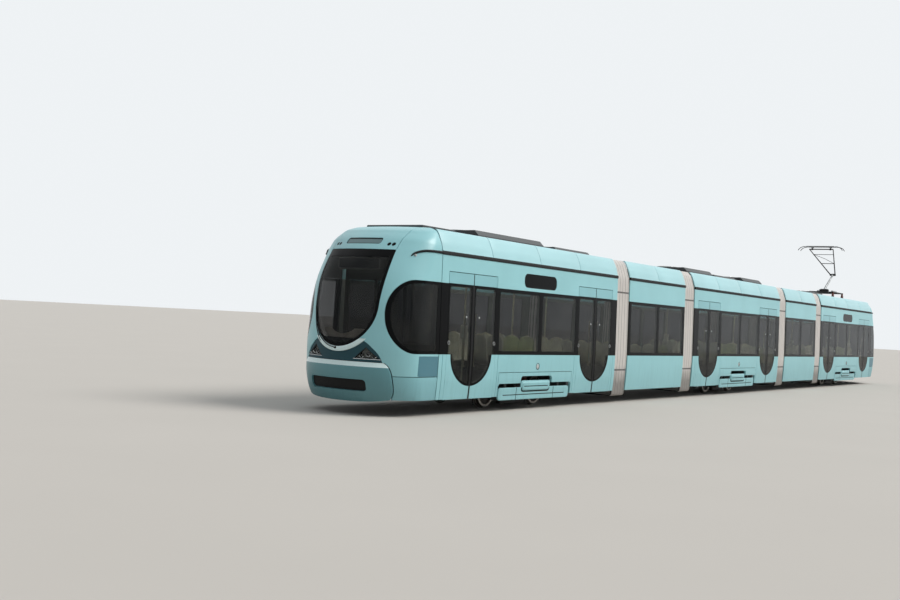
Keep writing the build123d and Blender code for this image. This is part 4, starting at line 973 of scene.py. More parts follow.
@dataclass
class SideWalls:
    """The painted walls, window band and doors of one car."""

    finishes: Finishes
    car: Car
    wall: float = 0.050
    seam: float = 0.005
    glass: float = 0.009
    pillar: float = 0.060
    post: float = 0.875
    flap_half: float = 1.385
    flap_top: float = 0.715
    header_top: float = 2.462
    oval: Pair = (0.647, 0.552)
    sill: float = 0.274
    leaf: float = 0.042
    gap: float = 0.004
    lamp_z: float = 0.83
    sign_z: float = 2.455

    def lay(self, out: Builder, finish: str, side: Side, x: Pair, z: Pair, depth: float,
            fields: Sequence[Field] = (), inset: float = 0.0, xs: Sequence[float] = (),
            zs: Sequence[float] = (), reach: float = 0.08) -> None:
        """Add a piece of wall between two places and two heights.

        Args:
            out: where it goes.
            finish: the material's name.
            side: the tram's side.
            x: start and stop along the tram.
            z: lower and upper edge.
            depth: thickness.
            fields: cuts.
            inset: how far its face lies behind the skin.
            xs: places where the grid is fine.
            zs: heights where it is fine.
            reach: how far the fine lines run each way.
        """
        along, up = lines(*x, xs, reach=reach), lines(*z, zs, reach=reach)
        out.add(Patch(LAYOUT.side(side, inset), along, up, -side.value).cut(fields, depth), finish)

    def cuts(self, side: Side) -> list[Pair]:
        """The doorways as stretches along the tram, a gap wider than the leaves."""
        reach = LAYOUT.door_half + self.gap
        return [(door - reach, door + reach) for door in self.car.doorways(side)]

    def joints(self, places: Sequence[float], half: float) -> list[Pair]:
        """Thin gaps at some places along the tram."""
        return [(place - half, place + half) for place in places]

    def lower(self, side: Side, out: Builder) -> None:
        """Panels from skirt to belt, with the flap over a bogie and its lamp."""
        car = self.car
        places = [door + hand * self.post for door in car.doorways(side) for hand in (-1, 1)]
        if side is Side.LEFT:
            places = list(car.left[1:-1:2])
        for x0, x1 in spans(car.start, car.end, self.cuts(side) + self.joints(places, self.seam)):
            fields, xs, zs = [], [], []
            if car.bogie is not None and abs((x0 + x1) / 2 - car.bogie) < 3 and x1 - x0 > 1:
                slack = 2 * self.seam
                half = (self.flap_top + slack - 0.1) / 2
                fields = [hole(SIDE_VIEW, (car.bogie, 0.1 + half), (self.flap_half + slack, half), 0.012)]
                xs = [car.bogie - self.flap_half, car.bogie + self.flap_half]
                zs = [self.flap_top]
            self.lay(out, "coach_paint", side, (x0, x1), (LAYOUT.skirt, LAYOUT.belt - 0.002), self.wall,
                     fields, 0.0, xs, zs)
        for place in places:
            self.lay(out, "seal_rubber", side, (place - 0.03, place + 0.03),
                     (LAYOUT.skirt + 0.02, LAYOUT.belt), 0.006, (), 0.051)
        if car.bogie is not None:
            self.flap(side, out)

    def flap(self, side: Side, out: Builder) -> None:
        """The hinged flap over a bogie with the cover's cut-out, and the round lamp above it."""
        c, z = self.car.bogie, self.lamp_z
        fields = [hole(SIDE_VIEW, (c, 0.27), (1.375, 0.245), 0.06),
                  hole(SIDE_VIEW, (c, 0.40), (0.59, 0.248), 0.07)]
        self.lay(out, "coach_paint", side, (c - self.flap_half, c + self.flap_half),
                 (LAYOUT.skirt, self.flap_top), self.wall, fields, 0.0,
                 [c - 1.37, c - 0.59, c + 0.59, c + 1.37], (0.515, 0.648))
        s = side.value
        y = s * (float(LAYOUT.skin(z)) + 0.0035)
        ring = [(0.046, y - s * 0.02), (0.060, y - s * 0.02), (0.064, y), (0.060, y), (0.050, y - s * 0.004)]
        lens = [(0.049, y - s * 0.02), (0.049, y - s * 0.006), (0.040, y - s * 0.001), (0.02, y), (0.003, y)]
        out.add(lathe(ring, (c, 0, z), 1, 40, closed=True), "seal_rubber")
        out.add(lathe(lens, (c, 0, z), 1, 40), "dome_clear")

    def band(self, side: Side, out: Builder) -> None:
        """The black window band: its printed frame, the frames behind it and the panes' clear middles."""
        car, edge = self.car, self.pillar
        panes = car.panes(side)
        low, high = LAYOUT.belt, LAYOUT.band_top
        mid, half = (low + high) / 2, (high - low) / 2
        doors = self.cuts(side)
        pairs = list(zip(panes, panes[1:]))
        holes = [hole(SIDE_VIEW, ((a + b) / 2, mid), ((b - a) / 2 - edge, half - edge), 0.05)
                 for a, b in pairs]
        inner = [hole(SIDE_VIEW, ((a + b) / 2, mid), ((b - a) / 2 - edge - 0.012, half - 0.072), 0.04)
                 for a, b in pairs]
        xs = [place for a, b in pairs for place in (a + edge, b - edge)]
        zs = (low + edge, high - edge)
        for span in spans(car.start, car.end, doors + self.joints(panes, 0.003)):
            self.lay(out, "black_frit", side, span, (low + 0.002, high - 0.002), self.glass, holes, 0.0,
                     xs, zs)
        for span in spans(car.start, car.end, doors):
            self.lay(out, "cab_moulding", side, span, (low, high), 0.034, inner, 0.014, xs, zs)
        for a, b in pairs:
            self.lay(out, "cabin_glass", side, (a + edge - 0.02, b - edge + 0.02), (low + 0.04, high - 0.04),
                     0.007, (), 0.0025)

    def upper(self, side: Side, out: Builder) -> None:
        """Panels from the window band to the drip rail, door headers and the blank side sign."""
        car, foot, high = self.car, LAYOUT.band_top, self.header_top
        fields = [hole(SIDE_VIEW, (door, high / 2 + 1.08), (0.7745, high / 2 - 1.08 + 0.005), 0.01)
                  for door in car.doorways(side)]
        xs = [door + hand * 0.769 for door in car.doorways(side) for hand in (-1, 1)]
        zs = [high]
        if car.number in (1, 5):
            c, centre = car.bogie, (car.bogie, self.sign_z)
            ends, edges = (c - 0.60, c + 0.60), (2.34, 2.57)
            fields.append(hole(SIDE_VIEW, centre, (0.620, 0.135), 0.115))
            xs += ends
            zs += edges
            self.lay(out, "black_frit", side, (c - 0.62, c + 0.62), (2.32, 2.59), 0.02,
                     [plate(SIDE_VIEW, centre, (0.617, 0.132), 0.112)], 0.002, ends, edges)
        self.lay(out, "coach_paint", side, (car.start, car.end), (foot, LAYOUT.drip), self.wall, fields, 0.0,
                 xs, zs)
        for door in car.doorways(side):
            for hand in (-1, 1):
                x = sorted((door + hand * 0.012, door + hand * 0.7625))
                self.lay(out, "header_paint", side, tuple(x), (foot + 0.005, high - 0.007), 0.03)
            for reach, top, depth, inset in ((0.79, high + 0.02, 0.006, 0.051),
                                             (0.009, high - 0.02, 0.02, 0.001)):
                self.lay(out, "seal_rubber", side, (door - reach, door + reach), (foot, top), depth, (),
                         inset)

    def glazed(self, door: float, grow: float) -> Field:
        """A field that keeps the door pair's glazed outline: all above the belt, a half oval below it."""
        a, b = self.oval[0] + grow, self.oval[1] + grow

        def inside(p: Array) -> Array:
            """Height over the belt, or the oval's own inside distance, whichever is more."""
            reach = np.hypot((p[:, 0] - door) / a, np.minimum(p[:, 2] - LAYOUT.belt, 0) / b)
            return np.maximum(p[:, 2] - LAYOUT.belt, (1 - reach) * b)

        return inside

    def door_leaf(self, out: Builder, door: float, hand: int) -> None:
        """One glazed leaf with its rubber edge, push button, grab bar and signal lamp."""
        edge, top = 0.042, LAYOUT.band_top - 0.001
        x0, x1 = sorted((door + hand * 0.024, door + hand * LAYOUT.door_half))
        outline, clear = self.glazed(door, 0.0), self.glazed(door, -edge)
        frame = plate(SIDE_VIEW, ((x0 + x1) / 2, 1.35), ((x1 - x0) / 2 - edge, 0.865), 0.05)
        curve = {"xs": [*np.arange(x0, x1, 0.05), x0 + edge, x1 - edge],
                 "zs": [*np.arange(0.50, 1.10, 0.05), 2.2], "reach": 0.03}
        ring = [outline, lambda p: -np.minimum(clear(p), frame(p))]
        middle = ((x0 + 0.02, x1 - 0.02), (self.sill, top - 0.02))
        for finish, (x, z), depth, fields, inset in (
                ("coach_paint", ((x0, x1), (self.sill, LAYOUT.belt)), self.leaf,
                 [lambda p: -outline(p) - 0.002], 0.0),
                ("black_frit", ((x0, x1), (self.sill, top)), 0.008, ring, 0.0),
                ("cab_moulding", ((x0, x1), (self.sill, top)), 0.028, ring, 0.013),
                ("cabin_glass", middle, 0.006, [self.glazed(door, -0.02)], 0.002)):
            self.lay(out, finish, Side.RIGHT, x, z, depth, fields, inset, **curve)
        rubber = sorted((door + hand * 0.0015, door + hand * 0.0225))
        self.lay(out, "seal_rubber", Side.RIGHT, tuple(rubber), (self.sill, top), 0.045)
        self.button(out, door + hand * 0.715, 1.25)
        x = door + hand * 0.16
        grab = [(x, -1.112, 0.84), *[(x, -1.085, z) for z in np.linspace(0.85, 1.75, 12)], (x, -1.112, 1.76)]
        out.add(sweep(grab, 0.014, 10), "pole_steel")
        self.lamp(out, door + hand * 0.20, 1.70)

    def button(self, out: Builder, x: float, z: float) -> None:
        """A round push button: bright bezel and a raised, ringed cap."""
        y = -float(LAYOUT.skin(z))
        bezel = [(0.026, y + 0.012), (0.034, y + 0.012), (0.034, y - 0.002), (0.032, y - 0.004),
                 (0.028, y - 0.002)]
        cap = [(0.027, y + 0.01), (0.027, y - 0.001), (0.022, y - 0.0035), (0.012, y - 0.0025),
               (0.002, y - 0.0025)]
        out.add(lathe(bezel, (x, 0, z), 1, 28, closed=True), "unit_paint")
        out.add(lathe(cap, (x, 0, z), 1, 28), "motor_paint")

    def lamp(self, out: Builder, x: float, z: float) -> None:
        """A small round signal lamp on a leaf."""
        y = -float(LAYOUT.skin(z))
        cap = [(0.018, y + 0.01), (0.018, y - 0.001), (0.012, y - 0.003), (0.002, y - 0.0035)]
        out.add(lathe(cap, (x, 0, z), 1, 20), "dome_clear")

    def build(self) -> None:
        """Make the car's walls, window band and doors."""
        number, body = self.car.number, self.car.body
        walls = Builder(self.finishes)
        band = Builder(self.finishes)
        for side in Side:
            self.lower(side, walls)
            self.upper(side, walls)
            self.band(side, band)
        walls.make(f"walls_{number}", body, (f"sides_{number}",), slot="body_paint")
        band.make(f"window_band_{number}", body, (f"glass_{number}",), slot="tinted_glass")
        if self.car.doors:
            leaves = Builder(self.finishes)
            for door in self.car.doors:
                for hand in (-1, 1):
                    self.door_leaf(leaves, door, hand)
            leaves.make(f"door_leaves_{number}", body, (f"doors_{number}",), slot="body_paint")


@dataclass
class RoofShell:
    """The curved roof fairings of one car, its drip rails, ceiling and deck."""

    finishes: Finishes
    car: Car
    share: Row = (0.0, 0.5, 1.0, 1.1, 1.2)
    across: Row = (1.118, 1.063, 0.950, 0.925, 0.918)
    height: Row = (2.790, 2.970, 3.160, 3.165, 3.140)
    rail: tuple[Pair, ...] = ((1.088, 2.730), (1.126, 2.733), (1.132, 2.742), (1.132, 2.786),
                              (1.126, 2.797), (1.100, 2.800))

    def fairing(self, side: Side) -> Surface:
        """(x, t) goes up the fairing's curve: a smooth line through its table, curled in at the top."""
        def place(uv: Array) -> Array:
            """Read both tables at t."""
            y = hermite(uv[:, 1], self.share, self.across)
            z = hermite(uv[:, 1], self.share, self.height)
            return np.stack([uv[:, 0], side.value * y, z], axis=1)

        return place

    def build(self) -> None:
        """Make the roof."""
        car = self.car
        out = Builder(self.finishes)
        for side in Side:
            gaps = [(seam - 0.006, seam + 0.006) for seam in car.seams]
            for x0, x1 in spans(car.start, car.end, gaps):
                along = lines(x0, x1, (x0, x1), coarse=0.4, reach=0.006, fine=0.003)
                patch = Patch(self.fairing(side), along, np.linspace(0.0, 1.2, 23), -side.value)
                edge = lambda p, x0=x0, x1=x1: np.minimum(p[:, 0] - x0, x1 - p[:, 0])
                out.add(patch.cut([], 0.022, lambda p: -0.004 * np.exp(-edge(p) / 0.002)), "roof_paint")
            outline = np.array(self.rail) * [side.value, 1.0]
            out.add(prism(outline, 0, car.start, car.end), "seal_rubber")
        out.add(block((car.start, -1.055, LAYOUT.ceiling), (car.end, 1.055, 2.66)), "lining")
        out.add(block((car.start + 0.01, -1.05, 2.66), (car.end - 0.01, 1.05, 2.74)), "deck_paint")
        out.add(block((car.start, -1.05, 2.74), (car.end, 1.05, LAYOUT.deck)), "deck_paint")
        self.lights(out)
        out.make(f"roof_shell_{car.number}", car.body, (f"roof_{car.number}",), slot="roof_paint")
        self.fittings()

    def lights(self, out: Builder) -> None:
        """Two rows of light diffusers under the ceiling."""
        trough = np.array([(-0.07, 0.0), (-0.045, -0.022), (0.045, -0.022), (0.07, 0.0)])
        for side in Side:
            outline = trough + [side.value * 0.62, LAYOUT.ceiling]
            out.add(prism(outline, 0, self.car.start + 0.25, self.car.end - 0.25), "ceiling_lamp")

    def fittings(self) -> None:
        """Cable ducts with their clamps, walkway mats and two cables on the deck between the fairings."""
        car, z = self.car, LAYOUT.deck
        out = Builder(self.finishes)
        for side in Side:
            y = side.value
            out.add(block((car.start + 0.15, y * 0.84, z - 0.001), (car.end - 0.15, y * 0.90, z + 0.055)),
                    "unit_paint")
            for x in np.arange(car.start + 0.4, car.end - 0.3, 0.75):
                out.add(block((x, y * 0.832, z), (x + 0.03, y * 0.908, z + 0.062)), "bright_metal")
        for x in np.arange(car.start + 0.2, car.end - 0.5, 0.9):
            out.add(block((x, -0.16, z - 0.001), (x + 0.78, 0.16, z + 0.008)), "floor_sheet")
        cable = [(x, 0.78 + 0.006 * math.sin(3 * x), z + 0.016)
                 for x in np.arange(car.start + 0.1, car.end - 0.1, 0.2)]
        out.add(sweep(cable, 0.015, 8), "seal_rubber")
        out.add(move(sweep(cable, 0.012, 8), (0, -0.034, -0.003)), "seal_rubber")
        out.make(f"deck_fittings_{car.number}", car.body)


@dataclass
class RoofUnits:
    """Louvres, fans and bolts on the roof units of a car, whose boxes are the solids'."""

    finishes: Finishes
    number: int
    rows: tuple[tuple[float, float, float, float], ...]
    tray_under: float = 1.2
    three_fans_over: float = 1.7
    fans_above: float = 0.25

    def build(self) -> None:
        """Dress each unit, given as (start, end, half width, height): a tray if short, fans if high."""
        out = Builder(self.finishes)
        for x0, x1, half, height in self.rows:
            top = LAYOUT.deck + height
            self.louvres(out, x0, x1, half, top)
            if x1 - x0 < self.tray_under:
                out.add(block((x0 + 0.03, -0.62, top - 0.01), (x1 - 0.03, 0.62, top + 0.05), 0.015),
                        "deck_dark")
            elif height > self.fans_above:
                count = 3 if x1 - x0 > self.three_fans_over else 2
                for index in range(count):
                    x = x0 + (x1 - x0) * (index + 0.5) / count
                    self.fan(out, x, top, min(0.25, half - 0.2))
            for x in (x0 + 0.08, x1 - 0.08):
                for y in (-half + 0.16, half - 0.16):
                    self.bolt(out, x, y, top)
            for y in (-half + 0.11, half - 0.11):
                out.add(block((x0 + 0.03, y - 0.006, top - 0.002), (x1 - 0.03, y + 0.006, top + 0.004),
                              0.001), "seal_rubber")
        out.make(f"roof_unit_fittings_{self.number}", f"car_{self.number}", slot="unit_paint")

    def louvres(self, out: Builder, x0: float, x1: float, half: float, top: float) -> None:
        """Slanted slats in the slots along both top edges."""
        pitch, z = 0.15, LAYOUT.deck
        for index in range(int((x1 - x0 - 0.2) / pitch + 1e-6)):
            x = x0 + 0.15 + index * pitch
            for side in Side:
                y = side.value * (half - 0.028)
                for level in np.arange(z + 0.075, top - 0.13, 0.028):
                    outline = np.array([(y, level), (y + side.value * 0.026, level - 0.012),
                                        (y + side.value * 0.026, level - 0.008), (y, level + 0.004)])
                    out.add(prism(outline, 0, x, x + 0.06), "frame_paint")

    def fan(self, out: Builder, x: float, top: float, radius: float) -> None:
        """A fan under a guard: collar, well, blades twisted along their length and guard rings."""
        collar = [(radius, top - 0.002), (radius + 0.03, top - 0.002), (radius + 0.024, top + 0.022),
                  (radius, top + 0.026), (radius - 0.012, top + 0.006)]
        out.add(lathe(collar, (x, 0, 0), 2, 40, closed=True), "unit_paint")
        out.add(lathe([(radius, top - 0.001), (radius, top + 0.003), (0.01, top + 0.003)], (x, 0, 0), 2, 40),
                "seal_rubber")
        for share in (0.35, 0.6, 0.85):
            ring = np.linspace(0, 2 * math.pi, 36, endpoint=False)
            path = np.stack([x + radius * share * np.cos(ring), radius * share * np.sin(ring),
                             np.full(36, top + 0.026)], axis=1)
            out.add(sweep(path, 0.0035, 6, closed=True), "bright_metal")
        out.add(self.blades(x, top, radius), "frame_paint")
        for angle in np.arange(4) * math.pi / 4:
            way = np.array([math.cos(angle), math.sin(angle), 0.0]) * radius
            middle = np.array([x, 0.0, top + 0.026])
            out.add(sweep([middle - way, middle, middle + way], 0.004, 6), "bright_metal")

    def blades(self, x: float, top: float, radius: float) -> Shape:
        """Seven blades: each is a strip from hub to tip, tilted less towards its tip."""
        span = np.linspace(0.25, 0.92, 6)
        chord = np.linspace(-1, 1, 4)
        r, c = np.meshgrid(span, chord, indexing="ij")
        turn = c * (0.34 - 0.14 * r)
        height = top + 0.012 + c * 0.007 * (1.2 - r)
        points, faces = [], []
        quads = grid_quads(6, 4)
        for index in range(7):
            angle = turn + index * 2 * math.pi / 7
            sheet = np.stack([x + radius * r * np.cos(angle), radius * r * np.sin(angle), height], axis=-1)
            flat = sheet.reshape(-1, 3)
            base = index * 48
            normals = np.tile([0.0, 0.0, 1.0], (24, 1))
            tris = np.vstack([quads[:, [0, 1, 2]], quads[:, [0, 2, 3]]])
            made, parts = thicken(flat, tris, normals, 0.003)
            points.append(made)
            faces += [part + base for part in parts]
        return np.vstack(points), faces

    def bolt(self, out: Builder, x: float, y: float, top: float) -> None:
        """A round bolt head that holds the unit down."""
        out.add(lathe([(0.03, top - 0.001), (0.03, top + 0.006), (0.02, top + 0.010), (0.004, top + 0.010)],
                      (x, y, 0), 2, 16), "bright_metal")


@dataclass
class Bellows:
    """One folded gangway that hangs between two cars."""

    finishes: Finishes
    rear: int
    front: int
    start: float
    end: float
    folds: int = 9
    depth: float = 0.040
    thick: float = 0.018
    section: tuple[Pair, ...] = ((1.094, 0.157), (1.128, 1.000), (1.096, 2.750), (0.998, 3.055),
                                 (0.898, 3.166))

    def outline(self) -> tuple[Array, Array]:
        """The closed section as (y, z) with its corners cut round twice, and its outward directions."""
        right = np.array(self.section)
        ring = np.vstack([right, right[::-1] * [-1, 1]])
        pieces = []
        for a, b in zip(ring, np.roll(ring, -1, axis=0)):
            count = max(2, int(np.linalg.norm(b - a) / 0.16))
            pieces.append(a + (b - a) * np.linspace(0, 1, count, endpoint=False)[:, None])
        ring = np.vstack(pieces)
        for _ in range(2):
            after = np.roll(ring, -1, axis=0)
            ring = np.stack([ring * 0.75 + after * 0.25, ring * 0.25 + after * 0.75], axis=1).reshape(-1, 2)
        along = np.roll(ring, -1, axis=0) - np.roll(ring, 1, axis=0)
        out = np.stack([along[:, 1], -along[:, 0]], axis=1)
        out /= np.linalg.norm(out, axis=1, keepdims=True)
        return ring, out if signed_area(ring) > 0 else -out

    def build(self) -> None:
        """Make the folds: round ridges and creased valleys, from the size of a cosine along the gangway."""
        ring, out = self.outline()
        steps = self.folds * 8 + 1
        along = np.linspace(0, 1, steps)
        valley = 1 - np.abs(np.cos(math.pi * self.folds * along)) ** 0.9
        x = self.start + (self.end - self.start) * along
        inset = (self.depth * valley)[:, None, None]
        flat = ring[None] - out[None] * inset
        inner = flat - out[None] * self.thick
        count = len(ring)
        places = np.broadcast_to(x[:, None, None], (steps, count, 1))
        shell = [np.concatenate([places, part], axis=2).reshape(-1, 3) for part in (flat, inner)]
        quads = grid_quads(steps, count, wrap_cols=True)
        area = signed_area(ring)
        outer = quads if area < 0 else quads[:, ::-1]
        inside = outer[:, ::-1] + steps * count
        rim = np.arange(count)
        after = np.roll(rim, -1)
        far = (steps - 1) * count
        first = np.stack([rim, after, after + steps * count, rim + steps * count], axis=1)
        last = np.stack([after, rim, rim + steps * count, after + steps * count], axis=1) + far
        walls = [first, last] if area > 0 else [first[:, ::-1], last[:, ::-1]]
        name = f"bellows_{self.front}{self.rear}"
        folded = Builder(self.finishes).add((np.vstack(shell), [outer, inside, *walls]), "bellows_fabric")
        made = folded.make(f"folded_{name}", None, (name,), sharp=60.0, slot="bellows_rubber")
        # Painted shade for the fabric: the valleys darken, every second one more
        alternate_shade = 0.65 + 0.35 * np.cos(math.pi * np.floor(self.folds * along + 1e-6))
        shade = np.tile(np.repeat(alternate_shade * valley ** 1.1, count), 2).astype(np.float32)
        made.data.attributes.new("fold", "FLOAT", "POINT").data.foreach_set("value", shade)
        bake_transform(made)
        self.frames(ring, out)

    def frames(self, ring: Array, out: Array) -> None:
        """A dark end frame on each car, with the clamps that hold the fabric."""
        for car, x, hand in ((self.rear, self.start, -1), (self.front, self.end, 1)):
            made = Builder(self.finishes)
            line = ring - out * 0.012
            path = np.concatenate([np.full((len(line), 1), x + hand * 0.004), line], axis=1)
            made.add(sweep(path, 0.013, 8, closed=True), "seal_rubber")
            for z in CLAMP_ROWS:
                for side in Side:
                    s = side.value
                    y = s * float(np.interp(z, *zip(*((z0, y0) for y0, z0 in self.section[:3]))))
                    made.add(block((x - 0.012, y - s * 0.03, z - 0.03), (x + 0.012, y + s * 0.004, z + 0.03)),
                             "bright_metal")
            made.make(f"gangway_frame_{car}{self.rear}{self.front}", f"car_{car}", slot="dark_trim")


# Running gear


@dataclass
class BogieCovers:
    """The two covers over a bogie: soft-edged plates with a raised, grooved middle."""

    finishes: Finishes
    number: int
    car: Car
    inset: float = 0.007
    half: float = 1.328
    foot: float = 0.205
    top: float = 0.434
    lump_half: float = 0.545
    lump_top: float = 0.560
    proud: float = 0.017
    lump_z: float = 0.455
    groove_z: float = 0.298
    groove_end: float = 1.20
    split: float = 0.70
    rim_top: float = 0.43

    def outline(self, p: Array) -> Array:
        """Above 0 inside the cover: a long low plate or the taller middle, both with round corners."""
        c = self.car.bogie
        low = rounded_box(p, SIDE_VIEW, (c, (self.foot + self.top) / 2),
                          (self.half, (self.top - self.foot) / 2), 0.07)
        high = rounded_box(p, SIDE_VIEW, (c, 0.40), (self.lump_half, self.lump_top - 0.40), 0.06)
        return -np.minimum(low, high)

    def lump(self, p: Array) -> Array:
        """How far inside the raised middle's edge a point lies."""
        return -rounded_box(p, SIDE_VIEW, (self.car.bogie, self.lump_z), (self.lump_half - 0.03, 0.09), 0.05)

    def grooves(self, p: Array) -> Array:
        """Above 0 along the grooves, which get a dark strip as painted shade: round the foot of the middle,
        and along both it and the plate.
        """
        x = np.abs(p[:, 0] - self.car.bogie)
        rim = np.minimum(0.013 - np.abs(self.lump(p) + 0.008), self.rim_top - p[:, 2])
        along = np.minimum(0.007 - np.abs(p[:, 2] - self.groove_z), self.groove_end - x)
        across = np.minimum(0.006 - np.abs(x - self.split), self.rim_top - p[:, 2])
        middle = np.minimum(0.007 - np.abs(p[:, 2] - self.lump_z), self.lump_half - 0.08 - x)
        return np.maximum.reduce([rim, along, across, middle])

    def relief(self, p: Array) -> Array:
        """Height over the plate: a soft step up in the middle, edges rolled in, less the grooves."""
        inside = self.lump(p)
        step = np.clip(inside / 0.03, 0, 1)
        step = step * step * (3 - 2 * step)
        edge = np.exp(-np.maximum(self.outline(p), 0) / 0.006)
        x, z = np.abs(p[:, 0] - self.car.bogie), p[:, 2]
        along = np.exp(-((z - self.groove_z) / 0.005) ** 2) * (x < self.groove_end)
        across = np.exp(-((x - self.split) / 0.005) ** 2) * (z < self.rim_top)
        middle = np.exp(-((z - self.lump_z) / 0.005) ** 2) * (x < self.lump_half - 0.08)
        rim = 1.4 * np.exp(-((inside + 0.008) / 0.009) ** 2) * (z < self.rim_top)
        groove = np.maximum.reduce([along, across, middle * step, rim])
        return self.proud * step - 0.006 * edge - 0.011 * groove

    def build(self) -> None:
        """Make both covers with their hanger brackets."""
        c = self.car.bogie
        out = Builder(self.finishes)
        marks = [c + hand * reach for hand in (-1, 1) for reach in (self.half, self.split, self.lump_half)]
        xs = lines(c - self.half, c + self.half, marks, coarse=0.06, fine=0.008, reach=0.05)
        zs = np.linspace(self.foot, self.lump_top, 61)
        for side in Side:
            patch = Patch(LAYOUT.side(side, self.inset), xs, zs, -side.value)
            out.add(patch.cut([self.outline], 0.022, self.relief), "coach_paint")
            # A dark strip laid in the grooves: painted shade
            out.add(patch.cut([self.grooves], 0.003, lambda p: self.relief(p) + 0.0015), "seal_rubber")
            s = side.value
            for offset in (-1.0, 1.0):
                x = c + offset
                out.add(block((x - 0.04, s * 1.034, 0.380), (x + 0.04, s * 1.110, 0.408)), "frame_paint")
                out.add(block((x - 0.04, s * 1.034, 0.380), (x + 0.04, s * 1.052, 0.683)), "frame_paint")
        out.make(f"skirt_covers_{self.number}", self.car.body, (f"bogie_covers_{self.number}",),
                 slot="body_paint")


@dataclass
class Wheels:
    """A rail axle and its two wheels, turned from their profiles."""

    finishes: Finishes
    number: int
    letter: str
    x: float
    back: float = 0.470
    front: float = 0.565
    tread: float = 0.290
    flange: float = 0.3149

    def build(self) -> None:
        """Turn axle, tyres and webs, and bolt them."""
        out = Builder(self.finishes)
        centre = (self.x, 0.0, LAYOUT.axle_z)
        out.add(lathe([(0.034, -0.700), (0.0398, -0.694), (0.0398, 0.694), (0.034, 0.700)], centre, 1, 32),
                "wheel_steel")
        mid = (self.back + self.front) / 2
        b, f, r = self.back, self.front, self.tread
        tyre = [(0.242, b), (0.300, b), (0.311, b + 0.003), (self.flange, b + 0.010), (0.3125, b + 0.018),
                (0.303, b + 0.027), (0.294, b + 0.033), (r, b + 0.038), (r - 0.001, f - 0.02),
                (r - 0.004, f - 0.004), (r - 0.010, f), (0.242, f)]
        web = [(0.242, mid - 0.016), (0.205, mid - 0.009), (0.150, mid - 0.010), (0.112, mid - 0.018),
               (0.094, b - 0.004), (0.086, b - 0.010), (0.0402, b - 0.018), (0.0402, f + 0.012),
               (0.080, f + 0.010), (0.094, f + 0.002), (0.112, mid + 0.018), (0.150, mid + 0.010),
               (0.205, mid + 0.009), (0.242, mid + 0.016)]
        for sign in (-1, 1):
            out.add(lathe([(q, sign * y) for q, y in tyre], centre, 1, 64, closed=True), "tread_steel")
            out.add(lathe([(q, sign * y) for q, y in web], centre, 1, 64, closed=True), "wheel_steel")
            for angle in np.arange(12) * math.pi / 6:
                x = self.x + 0.070 * math.cos(angle)
                z = LAYOUT.axle_z + 0.070 * math.sin(angle)
                face = sign * (f + 0.009)
                out.add(lathe([(0.009, face), (0.009, face + sign * 0.009), (0.006, face + sign * 0.011)],
                              (x, 0, z), 1, 6), "bright_metal")
        out.make(f"wheels_and_axle_{self.number}{self.letter}", f"wheels_{self.number}{self.letter}",
                 (f"wheelset_{self.number}{self.letter}",), slot="wheel_steel")


@dataclass
class BogieDetails:
    """Spring rings, caps, bolts, pipes and cables on a bogie's frame."""

    finishes: Finishes
    number: int
    x: float

    def build(self) -> None:
        """Dress the frame, whose solid stays."""
        out = Builder(self.finishes)
        half = LAYOUT.wheelbase / 2
        for side in Side:
            s = side.value
            for hand in (-1, 1):
                for level in np.linspace(0.425, 0.635, 7):
                    ring = [(0.080, level - 0.010), (0.093, level - 0.010), (0.095, level),
                            (0.093, level + 0.010), (0.080, level + 0.010)]
                    centre = (self.x + hand * 0.25, s * 0.65, 0)
                    out.add(lathe(ring, centre, 2, 28, closed=True), "spring_steel")
                axle = self.x + hand * half
                pipe = [(axle + hand * 0.300, s * 0.600, 0.330), (axle + hand * 0.345, s * 0.560, 0.300),
                        (axle + hand * 0.365, s * 0.520, 0.220), (axle + hand * 0.340, s * 0.517, 0.075)]
                out.add(sweep(soft(pipe), 0.011, 8), "frame_paint")
                for level in (0.27, 0.36):
                    for dx in (-0.09, 0.09):
                        self.bolt(out, axle + dx, s, level)
            self.cap(out, self.x - s * half, s)
            for dx in (-0.36, -0.12, 0.12, 0.36):
                self.fins(out, self.x + dx, s)
            cable = [(self.x - 0.30 * s, s * 0.83, 0.470), (self.x - 0.24 * s, s * 0.80, 0.520),
                     (self.x - 0.12 * s, s * 0.74, 0.500), (self.x - 0.05 * s, s * 0.69, 0.410)]
            out.add(sweep(soft(cable), 0.013, 8), "seal_rubber")
            out.add(move(sweep(soft(cable), 0.011, 8), (0.03, 0, 0)), "seal_rubber")
        out.make(f"bogie_fittings_{self.number}", f"bogie_{self.number}", slot="running_gear")

    def bolt(self, out: Builder, x: float, side: int, z: float) -> None:
        """A hexagon head on an axle box's outer face."""
        y = side * 0.705
        out.add(lathe([(0.016, y), (0.016, y + side * 0.009), (0.012, y + side * 0.012)], (x, 0, z), 1, 6),
                "bright_metal")

    def cap(self, out: Builder, x: float, side: int) -> None:
        """A domed cap over the axle's end, on the side without a gear case."""
        y = side * 0.703
        dome = [(0.092, y), (0.092, y + side * 0.010), (0.078, y + side * 0.016), (0.055, y + side * 0.018),
                (0.050, y + side * 0.026), (0.020, y + side * 0.030)]
        out.add(lathe(dome, (x, 0, LAYOUT.axle_z), 1, 36), "motor_paint")

    def fins(self, out: Builder, x: float, side: int) -> None:
        """A cooling ring round a motor's body."""
        ring = [(0.148, x - 0.012), (0.158, x - 0.010), (0.158, x + 0.010), (0.148, x + 0.012)]
        out.add(lathe(ring, (0, side * 0.83, LAYOUT.axle_z + 0.010), 0, 40, closed=True), "motor_paint")


# Pantograph


